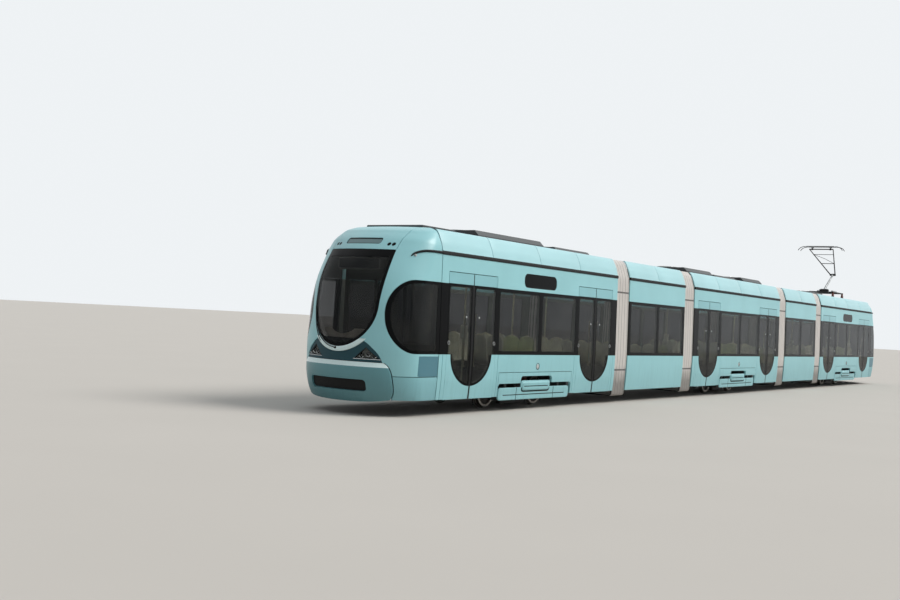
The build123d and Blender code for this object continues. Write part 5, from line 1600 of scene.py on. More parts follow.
@dataclass
class Pantograph:
    """The current collector: framed base on insulators, lower arm, upper arm and head."""

    finishes: Finishes
    foot: Pair = (11.88, 3.48)
    knee: Pair = (12.94, 4.12)
    head: Pair = (11.26, 4.96)
    low: float = 11.55
    high: float = 12.79
    half: float = 0.42
    frame_z: float = 3.42
    horn: tuple[Pair, ...] = ((0.54, 0.088), (0.60, 0.086), (0.68, 0.062), (0.75, 0.018), (0.802, -0.052))

    def build(self) -> None:
        """Make all four pieces."""
        self.base()
        self.lower()
        self.upper()
        self.top()

    def base(self) -> None:
        """Plinth, ribbed insulators, frame of box tubes, ears, spring cylinders and cable."""
        out = Builder(self.finishes)
        z, rim, half = LAYOUT.deck, self.frame_z, self.half
        out.add(block((self.low - 0.06, -0.5, z), (self.high + 0.06, 0.5, z + 0.17), 0.02), "unit_paint")
        for x in (self.low, self.high):
            for y in (-half, half):
                profile = [(0.036, z + 0.168)]
                for index in range(5):
                    level = z + 0.180 + index * 0.044
                    profile += [(0.036, level), (0.057, level + 0.006), (0.058, level + 0.012),
                                (0.038, level + 0.026)]
                profile += [(0.034, rim - 0.045), (0.034, rim - 0.036)]
                out.add(lathe(profile, (x, y, 0), 2, 24), "insulator")
            out.add(block((x - 0.03, -half - 0.03, rim - 0.04), (x + 0.03, half + 0.03, rim)),
                    "pantograph_paint")
        for y in (-half, half):
            out.add(block((self.low - 0.03, y - 0.025, rim - 0.04), (self.high + 0.03, y + 0.025, rim)),
                    "pantograph_paint")
        x, pin_z = self.foot
        out.add(block((x - 0.045, -half, rim - 0.04), (x + 0.045, half, rim - 0.01)), "pantograph_paint")
        for y in (-0.15, 0.15):
            outline = np.array([(rim - 0.02, x - 0.06), (rim - 0.02, x + 0.06), (pin_z + 0.012, x + 0.038),
                                (pin_z + 0.030, x + 0.016), (pin_z + 0.030, x - 0.016),
                                (pin_z + 0.012, x - 0.038)])
            out.add(prism(outline, 1, y - 0.012, y + 0.012), "pantograph_paint")
        for y in (-0.26, 0.26):
            out.add(lathe([(0.02, 11.98), (0.036, 11.985), (0.036, 12.50), (0.02, 12.505)],
                          (0, y, rim + 0.025), 0, 24), "pantograph_light")
            out.add(sweep([(11.90, y, rim + 0.025), (12.0, y, rim + 0.025)], 0.010, 10), "bright_metal")
            out.add(block((12.49, y - 0.03, rim - 0.02), (12.53, y + 0.03, rim + 0.05)), "pantograph_paint")
        out.add(block((12.47, -half, rim - 0.04), (12.55, half, rim - 0.012)), "pantograph_paint")
        cable = [(12.60, 0.30, 3.40), (12.70, 0.36, 3.30), (12.85, 0.33, 3.16), (13.05, 0.25, 2.97),
                 (13.3, 0.2, 2.948)]
        out.add(sweep(soft(cable), 0.014, 8), "seal_rubber")
        out.make("pantograph_frame", "car_1", ("pantograph_base",), slot="pantograph_metal")

    def lower(self) -> None:
        """One tapered tube between two hubs."""
        out = Builder(self.finishes)
        (fx, fz), (kx, kz) = self.foot, self.knee
        path = [(fx + (kx - fx) * t, 0.0, fz + (kz - fz) * t) for t in np.linspace(0.02, 0.98, 9)]
        out.add(sweep(path, np.interp(np.linspace(0, 1, 9), [0, 0.3, 1], [0.044, 0.038, 0.031]), 20),
                "pantograph_light")
        hub = [(0.016, 0.175), (0.016, 0.132), (0.042, 0.130), (0.048, 0.124)]
        knee = [(0.0155, 0.109), (0.0155, 0.062), (0.040, 0.060), (0.044, 0.054)]
        for (x, z), right in ((self.foot, hub), (self.knee, knee)):
            profile = [(radius, -y) for radius, y in right] + right[::-1]
            out.add(lathe(profile, (x, 0, z), 1, 28), "pantograph_paint")
        out.make("lower_arm_tube", "pantograph_lower_arm", ("pantograph_lower_arm",), slot="pantograph_metal")

    def upper(self) -> None:
        """Two tubes that spread from the knee to the head, with cross braces."""
        out = Builder(self.finishes)
        (kx, kz), (hx, hz) = self.knee, self.head

        def at(t: float, side: float) -> Colour:
            """A place on one of the two tubes."""
            return kx + (hx - kx) * t, side * (0.086 + 0.344 * t), kz + (hz - kz) * t

        for side in (-1, 1):
            hub = [(0.0172, 0.066), (0.036, 0.066), (0.040, 0.070), (0.040, 0.101), (0.036, 0.105),
                   (0.0172, 0.105)]
            hub = [(radius, side * y) for radius, y in hub]
            out.add(lathe(hub, (kx, 0, kz), 1, 28, closed=True), "pantograph_paint")
            path = [at(t, side) for t in np.linspace(0.014, 1.0, 9)]
            out.add(sweep(path, np.linspace(0.021, 0.016, 9), 16), "pantograph_paint")
        out.add(sweep([(hx, y, hz) for y in np.linspace(-0.43, 0.43, 9)], 0.0195, 16), "pantograph_paint")
        for t0, t1, radius in ((0.45, 0.45, 0.013), (0.45, 0.80, 0.008), (0.80, 0.80, 0.010)):
            out.add(sweep([at(t0, -1), at((t0 + t1) / 2, 0.0), at(t1, 1)], radius, 10), "pantograph_paint")
        out.make("upper_arm_tubes", "pantograph_upper_arm", ("pantograph_upper_arm",),
                 slot="pantograph_metal")

    def top(self) -> None:
        """Sleeves, springs, two contact strips and four drooping horns."""
        out = Builder(self.finishes)
        hx, hz = self.head
        for side in (-1, 1):
            sleeve = [(0.0215, 0.30), (0.032, 0.30), (0.034, 0.305), (0.034, 0.355), (0.032, 0.36),
                      (0.0215, 0.36)]
            sleeve = [(radius, side * y) for radius, y in sleeve]
            out.add(lathe(sleeve, (hx, 0, hz), 1, 24, closed=True), "pantograph_paint")
            y = side * 0.33
            for reach, low, high in ((0.014, 0.026, 0.06), (0.17, 0.052, 0.074)):
                out.add(block((hx - reach, y - 0.015, hz + low), (hx + reach, y + 0.015, hz + high)),
                        "pantograph_paint")
            for hand in (-1, 1):
                turns = np.linspace(0, 10 * math.pi, 70)
                coil = np.stack([hx + hand * 0.15 + 0.014 * np.cos(turns), y + 0.014 * np.sin(turns),
                                 hz + 0.060 + 0.020 * turns / turns[-1]], axis=1)
                out.add(sweep(coil, 0.003, 6), "bright_metal")
        for hand in (-1, 1):
            x = hx + hand * 0.15
            out.add(block((x - 0.022, -0.555, hz + 0.078), (x + 0.022, 0.555, hz + 0.094), 0.003),
                    "pantograph_light")
            out.add(block((x - 0.017, -0.500, hz + 0.093), (x + 0.017, 0.500, hz + 0.109), 0.003),
                    "copper_strip")
            for side in (-1, 1):
                bend = [(x, side * y, hz + up) for y, up in self.horn]
                out.add(sweep(soft(bend), 0.012, 12), "pantograph_paint")
        out.make("collector_head", "pantograph_head", ("pantograph_head",), slot="pantograph_metal")


# Inside


@dataclass
class Saloon:
    """Seats, grab poles and rails of one car."""

    finishes: Finishes
    car: Car
    well_rows: tuple[tuple[float, int], ...] = ((-1.12, 1), (-0.06, -1), (0.06, 1), (1.12, -1))
    sunk: float = 0.27
    row_pitch: float = 0.75
    seat_half: float = 0.163
    seat_pitch: float = 0.345
    pivot_clear: float = 0.768
    rail_z: float = 2.30
    pivots: Row = (-7.4375, -3.6625, 3.6625, 7.4375)
    share: Row = (0.0, 0.12, 0.32, 0.50, 0.60, 0.75, 0.90, 1.0)
    run: Row = (0.442, 0.405, 0.220, 0.060, 0.000, -0.040, -0.062, -0.070)
    rise: Row = (0.405, 0.427, 0.415, 0.412, 0.480, 0.680, 0.850, 0.928)

    def shell(self, x: float, y: float, half: float, facing: int, base: float) -> Shape:
        """A moulded seat: its side view's curve carried across, dished in pan and back, round at the top.

        Args:
            x: the seat's place along the tram.
            y: its middle across it.
            half: half its width.
            facing: 1 where the sitter looks forward.
            base: height of the floor under it.

        Returns:
            The shell.
        """
        def place(uv: Array) -> Array:
            """Read the curve at u and dish it by 1 less v squared."""
            dish = 1 - uv[:, 1] ** 2
            back = np.clip((uv[:, 0] - 0.45) / 0.2, 0, 1)
            dx = hermite(uv[:, 0], self.share, self.run) - 0.018 * dish * back + 0.018 * back * (1 - dish)
            dz = hermite(uv[:, 0], self.share, self.rise) - 0.014 * dish * (1 - back)
            return np.stack([x + facing * dx, y + half * uv[:, 1], base + dz], axis=1)

        patch = Patch(place, np.linspace(0, 1, 25), np.linspace(-1, 1, 11))
        return patch.cut([plate(FRONT_VIEW, (y, base + 0.40), (half, 0.53), 0.09)], 0.016)

    def seat(self, out: Builder, x: float, y: float, half: float, facing: int, base: float,
             finish: str) -> None:
        """Shell, pedestal and hoop handle."""
        foot = base
        base -= self.sunk if foot > LAYOUT.floor else 0.0
        out.add(self.shell(x, y, half, facing, base), finish)
        out.add(block((x + facing * 0.06, y - half * 0.7, foot + 0.001),
                      (x + facing * 0.27, y + half * 0.7, base + 0.385), 0.02), "cab_moulding")
        angle = np.linspace(-0.15, math.pi + 0.15, 15)
        hoop = np.stack([np.full(15, x - facing * 0.062), y + 0.72 * half * np.cos(angle),
                         base + 0.84 + 0.105 * np.sin(angle)], axis=1)
        out.add(sweep(hoop, 0.011, 8), "pole_steel")

    def bench(self, out: Builder, x: float, side: int, places: int, facing: int, base: float, outer: float,
              finish: str) -> None:
        """One or two seats next to the wall."""
        for index in range(places):
            y = side * (outer - 0.17 - self.seat_pitch * index)
            self.seat(out, x, y, self.seat_half, facing, base, finish)

    def build(self) -> None:
        """Make the car's seats, poles and rails."""
        car = self.car
        out = Builder(self.finishes)
        if car.bogie is not None:
            for offset, facing in self.well_rows:
                for side in Side:
                    tone = "seat_green" if offset * facing > 0 and side is Side.RIGHT else "seat_cream"
                    self.bench(out, car.bogie + offset, side.value, 2, facing, LAYOUT.well_top, 1.035, tone)
        else:
            first = 0.275 if car.number == 2 else 0.225
            for index in range(4):
                x = car.start + first + index * self.row_pitch
                tone = "seat_green" if index == 3 else "seat_cream"
                self.bench(out, x, 1, 2, 1, LAYOUT.floor, 1.055, tone)
                self.bench(out, x, -1, 2 if index in (0, 3) else 1, 1, LAYOUT.floor, 1.055, tone)
        self.poles(out)
        out.make(f"saloon_{car.number}", car.body, (f"interior_{car.number}",), slot="seat_shell")

    def poles(self, out: Builder) -> None:
        """Upright poles beside the doors with floor and ceiling flanges, and two ceiling rails."""
        car = self.car
        for door in car.doors:
            for hand in (-1, 1):
                for side in Side:
                    x, y = door + hand * 0.825, side.value * 0.40
                    if min(math.hypot(x - pivot, y) for pivot in self.pivots) < self.pivot_clear:
                        continue
                    pole = [(0.017, LAYOUT.floor), (0.017, LAYOUT.ceiling)]
                    out.add(lathe(pole, (x, y, 0), 2, 20), "pole_steel")
                    for level, way in ((LAYOUT.floor, 1), (LAYOUT.ceiling, -1)):
                        flange = [(0.045, level), (0.045, level + way * 0.006), (0.022, level + way * 0.03),
                                  (0.0165, level + way * 0.035)]
                        out.add(lathe(flange, (x, y, 0), 2, 20), "bright_metal")
                    if hand == 1:
                        box = block((x - 0.05, y - 0.06, 1.30), (x + 0.05, y + 0.06, 1.55), 0.015)
                        out.add(box, "seat_cream")
        for side in Side:
            y, z, top = side.value * 0.46, self.rail_z, LAYOUT.ceiling
            x0, x1 = car.start + 0.35, car.end - 0.35
            path = [(x0, y, top), (x0 + 0.02, y, 2.36), (x0 + 0.09, y, z),
                    *[(x, y, z) for x in np.linspace(x0 + 0.3, x1 - 0.3, 8)],
                    (x1 - 0.09, y, z), (x1 - 0.02, y, 2.36), (x1, y, top)]
            out.add(sweep(path, 0.015, 10), "pole_steel")
            for x in np.arange(x0 + 0.8, x1 - 0.5, 1.2):
                out.add(sweep([(x, y, z), (x, y, top)], 0.010, 8), "pole_steel")


def cushion(centre: Sequence[float], half: Sequence[float], square: float = 0.42) -> Shape:
    """A crowned cushion: a ball whose sines and cosines are raised to a power, which squares it off."""
    def power(value: Array) -> Array:
        """Signed power."""
        return np.sign(value) * np.abs(value) ** square

    rows, cols = 25, 48
    up = np.linspace(-math.pi / 2, math.pi / 2, rows + 2)[1:-1]
    round_ = np.linspace(-math.pi, math.pi, cols, endpoint=False)
    a, b = np.meshgrid(up, round_, indexing="ij")
    x = power(np.cos(a)) * power(np.cos(b))
    y = power(np.cos(a)) * power(np.sin(b))
    z = power(np.sin(a))
    z = z * (1 - 0.10 * (x * x + y * y))
    groove = 1 - 0.05 * np.exp(-((np.abs(y) - 0.62) / 0.04) ** 2) * (z > 0)
    points = np.stack([x, y, z * groove], axis=-1).reshape(-1, 3) * np.asarray(half) + np.asarray(centre)
    poles = np.array([[0, 0, -half[2]], [0, 0, half[2]]]) + np.asarray(centre)
    points = np.vstack([points, poles])
    low, high = rows * cols, rows * cols + 1
    ring = np.arange(cols)
    after = np.roll(ring, -1)
    top = (rows - 1) * cols
    quads = grid_quads(rows, cols, wrap_cols=True)[:, ::-1]
    foot = np.stack([after, ring, np.full(cols, low)], axis=1)
    cap = np.stack([ring + top, after + top, np.full(cols, high)], axis=1)
    return points, [quads, foot, cap]


@dataclass
class Cab:
    """One driver's cab: wall with window, desk, instruments and a cushioned seat."""

    finishes: Finishes
    nose: "Nose"
    wall: Pair = (14.335, 14.370)
    desk_x: float = 14.975
    seat_x: float = 14.56

    def build(self) -> None:
        """Make wall, desk and seat."""
        end = self.nose.end
        out = Builder(self.finishes)
        self.partition(out)
        self.desk(out)
        self.seat_frame(out)
        out.make(f"cab_fittings_{end.tag}", end.body, (f"cab_{end.tag}",), slot="cab_plastic")
        x = self.seat_x
        for name, middle, half in (("seat", (x + 0.24, 0, 0.835), (0.235, 0.245, 0.045)),
                                   ("back", (x - 0.015, 0, 1.22), (0.055, 0.235, 0.30)),
                                   ("head", (x - 0.040, 0, 1.50), (0.040, 0.13, 0.045))):
            pad = Builder(self.finishes).add(cushion(middle, half), "driver_cloth", end)
            made = pad.make(f"driver_{name}_pad_{end.tag}", end.body, sharp=80.0, slot="cab_plastic")

    def partition(self, out: Builder) -> None:
        """The wall behind the driver: sill, head, posts and a glass door leaf."""
        x0, x1 = self.wall
        end = self.nose.end
        sill, head, edge = 1.20, LAYOUT.band_top, 1.02
        for y0, y1, z0, z1 in ((-edge, edge, LAYOUT.floor, sill), (-edge, edge, head, LAYOUT.ceiling),
                               (-edge, -0.93, sill, head), (0.93, edge, sill, head),
                               (0.28, 0.34, sill, head), (-0.36, -0.30, sill, head)):
            out.add(block((x0, y0, z0), (x1, y1, z1), 0.005), "cab_moulding", end)
        out.add(block((x0 + 0.012, -0.935, 1.195), (x0 + 0.020, 0.935, 2.265), 0.001), "cabin_glass", end)
        out.add(block((x1 - 0.001, -0.27, 1.05), (x1 + 0.03, -0.23, 1.08), 0.006), "bright_metal", end)

    def desk(self, out: Builder) -> None:
        """Desk top cut to the nose's plan, pillar below it, instrument pod, screens, lever and buttons."""
        end, x = self.nose.end, self.desk_x
        out.add(prism(self.desk_plan(1.0, x), 2, 0.985, 1.045), "dash_cream", end)
        out.add(prism(self.desk_plan(0.37, x + 0.19), 2, 0.351, 0.985), "cab_moulding", end)
        pod = np.array([(1.040, 0.26), (1.235, 0.37), (1.238, 0.44), (1.040, 0.46)]) + [0.0, x]
        out.add(prism(pod, 1, -0.42, 0.42), "desk_top", end)
        face = np.array([(1.075, 0.272), (1.215, 0.351), (1.211, 0.358), (1.071, 0.279)]) + [0.0, x]
        for y0 in (-0.36, -0.10, 0.16):
            out.add(prism(face, 1, y0, y0 + 0.20), "black_frit", end)
        button = [(0.014, 1.044), (0.014, 1.056), (0.010, 1.060), (0.003, 1.060)]
        for index in range(9):
            out.add(lathe(button, (x + 0.10, -0.60 + index * 0.15, 0), 2, 14),
                    ("lamp_red", "lamp_amber", "bright_metal")[index % 3], end)
        lever = [(x + 0.16, 0.30, 1.04), (x + 0.15, 0.30, 1.12), (x + 0.13, 0.30, 1.17)]
        out.add(sweep(lever, 0.012, 10), "bright_metal", end)
        knob = [(0.010, 1.155), (0.024, 1.165), (0.028, 1.185), (0.020, 1.205), (0.004, 1.210)]
        out.add(lathe(knob, (x + 0.128, 0.30, 0), 2, 20), "seal_rubber", end)
        out.add(block((15.12, -0.46, 2.40), (15.24, 0.46, 2.61), 0.012), "cab_moulding", end)
        out.add(block((15.238, -0.43, 2.425), (15.247, 0.43, 2.585), 0.002), "black_frit", end)

    def desk_plan(self, z: float, start: float) -> Array:
        """The desk's outline from above: drawn in from the nose's plan at a height, and cut off at start."""
        x, y = self.nose.plan(np.linspace(-1.45, 1.45, 41), z, 0.10)
        keep = x > start
        outline = np.vstack([[start, y[keep][0]], np.stack([x[keep], y[keep]], axis=1), [start, y[keep][-1]]])
        outline[:, 0] = np.minimum(outline[:, 0], self.desk_x + 0.52)
        return outline

    def seat_frame(self, out: Builder) -> None:
        """Turned foot, ribbed column, pan, back plate and arm rests under the cushions."""
        end, x = self.nose.end, self.seat_x + 0.24
        foot = [(0.19, 0.351), (0.20, 0.362), (0.19, 0.385), (0.11, 0.395), (0.10, 0.42)]
        for index in range(6):
            level = 0.44 + index * 0.05
            foot += [(0.070, level), (0.105, level + 0.018), (0.105, level + 0.028)]
        foot += [(0.075, 0.765), (0.075, 0.78)]
        out.add(lathe(foot, (x, 0, 0), 2, 32), "seal_rubber", end)
        out.add(block((x - 0.23, -0.23, 0.770), (x + 0.20, 0.23, 0.800), 0.01), "desk_top", end)
        out.add(block((x - 0.33, -0.19, 0.86), (x - 0.305, 0.19, 1.46), 0.01), "desk_top", end)
        for y in (-0.245, 0.245):
            out.add(block((x - 0.24, y - 0.02, 1.035), (x + 0.06, y + 0.02, 1.075), 0.012),
                    "seal_rubber", end)


# Nose


@dataclass
class Nose:
    """One end of the tram: moulding, bumper, windscreen, corner windows, lamps and small fittings."""

    finishes: Finishes
    end: End
    heights: Row = (0.225, 0.400, 0.600, 1.050, 1.500, 1.900, 2.250, 2.650, 2.750, 2.850, 2.940, 3.040,
                                  3.130, 3.180)
    setback: Row = (0.180, 0.099, 0.045, 0.045, 0.090, 0.110, 0.175, 0.385, 0.458, 0.540, 0.623, 0.750,
                                  0.905, 1.095)
    depth: Row = (0.850, 0.850, 0.850, 0.760, 0.690, 0.725, 0.790, 0.750, 0.710, 0.660, 0.600, 0.560,
                                0.500, 0.430)
    roof_z: Row = (2.750, 2.900, 3.040, 3.130, 3.180)
    roof_y: Row = (1.118, 1.085, 1.022, 0.966, 0.930)
    screen_z: Row = (1.845, 2.300, 2.746)
    screen_y: Row = (0.680, 0.705, 0.692)
    screen_foot: float = 0.735
    mask_z: Row = (0.870, 0.978, 1.055, 1.115, 1.176, 1.220, 1.262)
    mask_y: Row = (0.805, 0.760, 0.704, 0.640, 0.570, 0.500, 0.430)
    corner: tuple[float, float, float, float] = (15.020, 1.655, 0.430, 0.605)
    power: Pair = (2.5, 2.05)
    bumper_z: Colour = (0.225, 0.800, 0.880)
    seam_z: Row = (0.277, 0.377, 0.492, 0.622, 0.734, 0.812, 0.858, 0.880)
    seam_x: Row = (15.280, 15.286, 15.313, 15.350, 15.380, 15.412, 15.442, 15.465)
    foot_x: Row = (15.280, 15.450, 15.620)
    foot_z: Row = (0.283, 0.250, 0.226)
    hook_x: Row = (14.404, 14.560, 14.700, 14.813, 14.916, 14.990, 15.024)
    hook_z: Row = (2.762, 2.763, 2.761, 2.755, 2.728, 2.688, 2.652)
    slot: Colour = (0.565, 0.415, 0.602)
    lamps: tuple[Pair, ...] = ((0.360, 0.940), (0.752, 0.945), (0.540, 1.118))
    discs: tuple[Pair, ...] = ((0.462, 0.992), (0.572, 1.012), (0.668, 0.990))
    markers: Pair = (0.529, 0.605)
    marker_z: float = 2.84
    sign_z: float = 2.894
    mask_top: float = 1.262
    ledge_z: float = 0.884
    joint: float = LAYOUT.nose_joint + 0.008
    reach: float = math.pi / 2 + 0.56

    # The surface

    def width(self, z: Array) -> Array:
        """Half the nose's width at a height: the side skin, and over the drip rail a smooth table."""
        return np.where(z > self.roof_z[0], hermite(z, self.roof_z, self.roof_y), LAYOUT.skin(z))

    def oval(self, z: Array) -> tuple[Array, Array]:
        """The depth of the plan's half oval at a height, and how far forward it starts."""
        depth = hermite(z, self.heights, self.depth)
        return depth, LAYOUT.nose_tip - hermite(z, self.heights, self.setback) - depth

    def plan(self, angle: Array, z: Union[float, Array], inset: float = 0.0) -> tuple[Array, Array]:
        """Plan at a height: a half oval whose side ends run straight back, one metre for each radian past it.

        Args:
            angle: 0 on the centreline, a quarter turn where the oval ends.
            z: height.
            inset: how far the oval is drawn in.

        Returns:
            x and y for the front end.
        """
        z = np.broadcast_to(np.asarray(z, float), np.shape(angle))
        turn = np.clip(angle, -math.pi / 2, math.pi / 2)
        depth, back = self.oval(z)
        x = back + (depth - inset) * np.cos(turn) - np.abs(angle - turn)
        return x, (self.width(z) - inset) * np.sin(turn)

    def place(self, uv: Array) -> Array:
        """The moulding's surface: (angle, height) to a point at this end."""
        x, y = self.plan(uv[:, 0], uv[:, 1])
        return np.stack([x * self.end.value, y, uv[:, 1]], axis=1)

    def ahead(self, y: float, z: float) -> float:
        """How far forward the surface lies at a place on the front, for the front end."""
        at = np.array([z])
        depth, back = (float(part[0]) for part in self.oval(at))
        return back + depth * math.sqrt(max(0.0, 1 - (y / float(self.width(at)[0])) ** 2))

    def beside(self, x: float, z: float, out: float) -> Colour:
        """A point out from the right flank at a place along the front end."""
        at = np.array([z])
        depth, back = (float(part[0]) for part in self.oval(at))
        return x, -out - float(self.width(at)[0]) * math.sqrt(1 - max(0.0, (x - back) / depth) ** 2), z

    def seam(self, p: Array) -> Array:
        """How far a point lies ahead of the bumper's seam."""
        return np.abs(p[:, 0]) - hermite(p[:, 2], self.seam_z, self.seam_x)

    def patch(self, reach: float, z: Array, step: float = 0.022) -> Patch:
        """A grid over the surface, reach radians to each side."""
        return Patch(self.place, np.linspace(-reach, reach, int(2 * reach / step)), z, self.end.value)

    # Outlines, above 0 inside

    def screen(self, grow: float) -> Field:
        """The windscreen: bulging sides and a level top over half an oval."""
        def inside(p: Array) -> Array:
            """Distance inside the nearest edge."""
            y, z = np.abs(p[:, 1]), p[:, 2]
            half = hermite(z, self.screen_z, self.screen_y) + grow
            high = np.minimum(half - y, self.screen_z[-1] + grow / 2 - z)
            a, b = self.screen_y[0] + grow, self.screen_foot + grow
            low = (1 - np.hypot(y / a, (self.screen_z[0] - z) / b)) * a
            return np.where(z < self.screen_z[0], low, high)

        return inside

    def window(self, shrink: float, start: float) -> Field:
        """The corner window: straight edges that end in half an oval towards the tip."""
        arc_x, mid_z, reach, tall = self.corner

        def inside(p: Array) -> Array:
            """Distance inside the nearest edge, only on the flanks."""
            x, z = np.abs(p[:, 0]), p[:, 2] - mid_z
            a, b = reach - shrink, tall - shrink
            n = np.where(z < 0, *self.power)
            oval = (1 - (np.abs((x - arc_x) / a) ** n + np.abs(z / b) ** n) ** (1 / n)) * a
            flat = np.minimum(b - np.abs(z), x - start)
            return np.minimum(np.where(x > arc_x, oval, flat), np.abs(p[:, 1]) - 0.60)

        return inside

    def mask(self, shrink: float) -> Field:
        """The recessed mask between windscreen and bumper: its edge runs down and outwards by a table."""
        def inside(p: Array) -> Array:
            """Distance inside its edge."""
            half = hermite(p[:, 2], self.mask_z, self.mask_y) - shrink
            return np.minimum(half - np.abs(p[:, 1]), self.mask_top - p[:, 2])

        return inside

    def cluster(self, shrink: float) -> Field:
        """Both lamp triangles: the least distance inside their three edges."""
        corners = np.array(self.lamps)
        sign = np.sign(signed_area(corners))

        def inside(p: Array) -> Array:
            """Distance inside the nearest edge."""
            y, z = np.abs(p[:, 1]), p[:, 2]
            best = np.full(len(p), 9.0)
            for a, b in zip(corners, np.roll(corners, -1, axis=0)):
                along = (b - a) / np.linalg.norm(b - a) * sign
                best = np.minimum(best, along[0] * (z - a[1]) - along[1] * (y - a[0]))
            return best - shrink

        return inside

    # Pieces

    def build(self) -> None:
        """Make the whole nose."""
        tag = self.end.tag
        for name, parts, solid, sharp, slot in (
                ("nose_moulding", (self.cheeks, self.cap, self.strip_and_mask, self.lining), "nose", 38.0,
                 "body_paint"),
                ("nose_glazing", (self.windscreen, self.corners), None, 32.0, "tinted_glass"),
                ("bumper_band", (self.bumper,), "bumper", 38.0, "body_paint"),
                ("lamp_clusters", (self.lights,), "lamps", 32.0, "lamp_glass"),
                ("nose_fittings", (self.fittings,), None, 32.0, "dark_trim")):
            out = Builder(self.finishes)
            for part in parts:
                part(out)
            replaced = (f"{solid}_{tag}",) if solid else ()
            out.make(f"{name}_{tag}", self.end.body, replaced, sharp, slot)

    def cheeks(self, out: Builder) -> None:
        """Painted sides and front above the bumper, with all their openings, and the low side panels in a
        darker turquoise as painted shade.
        """
        hatch = (14.655, 0.845)
        ahead = lambda p: np.abs(p[:, 0]) - self.joint
        fields = [
            ahead,
            without(self.screen(0.001)),
            without(self.window(-0.002, self.joint - 0.05)),
            lambda p: np.maximum(np.abs(p[:, 1]) - 0.6935, 2.744 - p[:, 2]),
            without(self.mask(-0.003)),
            lambda p: np.maximum(-self.screen(0.0815)(p), p[:, 2] - self.mask_top),
            lambda p: np.maximum(p[:, 2] - self.ledge_z, -0.012 - self.seam(p)),
            self.flank_hole(hatch, (0.299, 0.168)),
        ]
        heights = np.concatenate([np.linspace(0.675, 2.60, 92), np.linspace(2.62, 3.18, 44)])
        out.add(self.patch(self.reach, heights).cut(fields, 0.035), "coach_paint")
        low = [ahead, lambda p: -0.012 - self.seam(p)]
        # The low panels in the darker turquoise: painted shade
        out.add(self.patch(self.reach, np.linspace(0.28, 0.664, 20)).cut(low, 0.035), "cheek_paint")
        behind = self.patch(self.reach, np.linspace(0.29, 1.03, 24), 0.04)
        out.add(behind.cut([ahead, lambda p: 0.05 - self.seam(p)], 0.003, -0.0405), "seal_rubber")
        seams = [ahead, lambda p: np.abs(p[:, 1]) - 0.655, lambda p: 0.725 - np.abs(p[:, 1])]
        out.add(self.patch(0.80, np.linspace(2.76, 3.17, 24)).cut(seams, 0.003, -0.036), "seal_rubber")
        for side in (-1, 1):
            strip = Patch(self.flank(side), np.array([14.3925, 14.4075]), np.linspace(0.30, 3.10, 57),
                          -side * self.end.value)
            out.add(strip.cut([], 0.006), "seal_rubber")
        panel = [ahead, without(self.flank_hole(hatch, (0.2965, 0.1655)))]
        out.add(self.patch(self.reach, np.linspace(0.66, 1.03, 40)).cut(panel, 0.03), "panel_blue")

    def flank(self, side: int) -> Surface:
        """One flank behind the oval, a little inside the skin: (x, z) to a point at this end."""
        return lambda uv: np.stack([uv[:, 0] * self.end.value, side * (self.width(uv[:, 1]) - 0.009),
                                    uv[:, 1]], axis=1)

    @staticmethod
    def flank_hole(centre: Pair, half: Pair) -> Field:
        """A field that cuts a rounded opening in both flanks."""
        def outside(p: Array) -> Array:
            """Distance to the opening seen from the side."""
            flat = np.stack([np.abs(p[:, 0]), p[:, 1], p[:, 2]], axis=1)
            return np.maximum(rounded_box(flat, SIDE_VIEW, centre, half, 0.015), 0.9 - np.abs(p[:, 1]))

        return outside

    def cap(self, out: Builder) -> None:
        """The roof panel between the two seams, with lamp holes and sign slot, and the lid behind its top."""
        joint = self.joint
        fields = [lambda p: np.abs(p[:, 0]) - joint, lambda p: 0.6855 - np.abs(p[:, 1]),
                  hole(FRONT_VIEW, (0, self.sign_z), (0.372, 0.054), 0.032)]
        fields += [hole(FRONT_VIEW, (side * y, self.marker_z), (0.031, 0.031), 0.031)
                   for side in (-1, 1) for y in self.markers]
        heights = np.concatenate([np.linspace(2.7475, 2.96, 40), np.linspace(2.965, 3.18, 26)])
        out.add(self.patch(math.pi / 2 - 0.2, heights, 0.012).cut(fields, 0.03), "coach_paint")

        def lid(uv: Array) -> Array:
            """A shallow crown: (t, y) runs from the joint to the top slice's edge."""
            depth, back = self.depth[-1], LAYOUT.nose_tip - self.setback[-1] - self.depth[-1]
            edge = back + depth * np.sqrt(np.maximum(0, 1 - (uv[:, 1] / self.roof_y[-1]) ** 2))
            x = joint + (edge - joint) * uv[:, 0]
            z = 3.18 + 0.012 * (1 - uv[:, 0]) * (1 - (uv[:, 1] / 0.83) ** 2)
            return np.stack([x * self.end.value, uv[:, 1], z], axis=1)

        crown = Patch(lid, np.linspace(0, 1, 9), np.linspace(-0.825, 0.825, 40), self.end.value)
        out.add(crown.cut([], 0.03), "roof_paint")
        wall = np.array([(-0.90, 2.93), (0.90, 2.93), (0.90, 3.10), (0.82, 3.17), (-0.82, 3.17),
                         (-0.90, 3.10)])
        out.add(prism(wall, 0, joint, joint + 0.02), "roof_paint", self.end)

    def strip_and_mask(self, out: Builder) -> None:
        """The proud, rounded strip round the foot of the windscreen, in a pale tone as a painted highlight,
        and the set-back mask under it, in a dark tone as painted shade.
        """
        def crown(p: Array) -> Array:
            """Highest midway between the strip's edges."""
            share = np.clip(self.screen(0.080)(p) / 0.078, 0, 1)
            return 0.010 * np.sqrt(np.maximum(0.0, 1 - (2 * share - 1) ** 2)) + 0.001

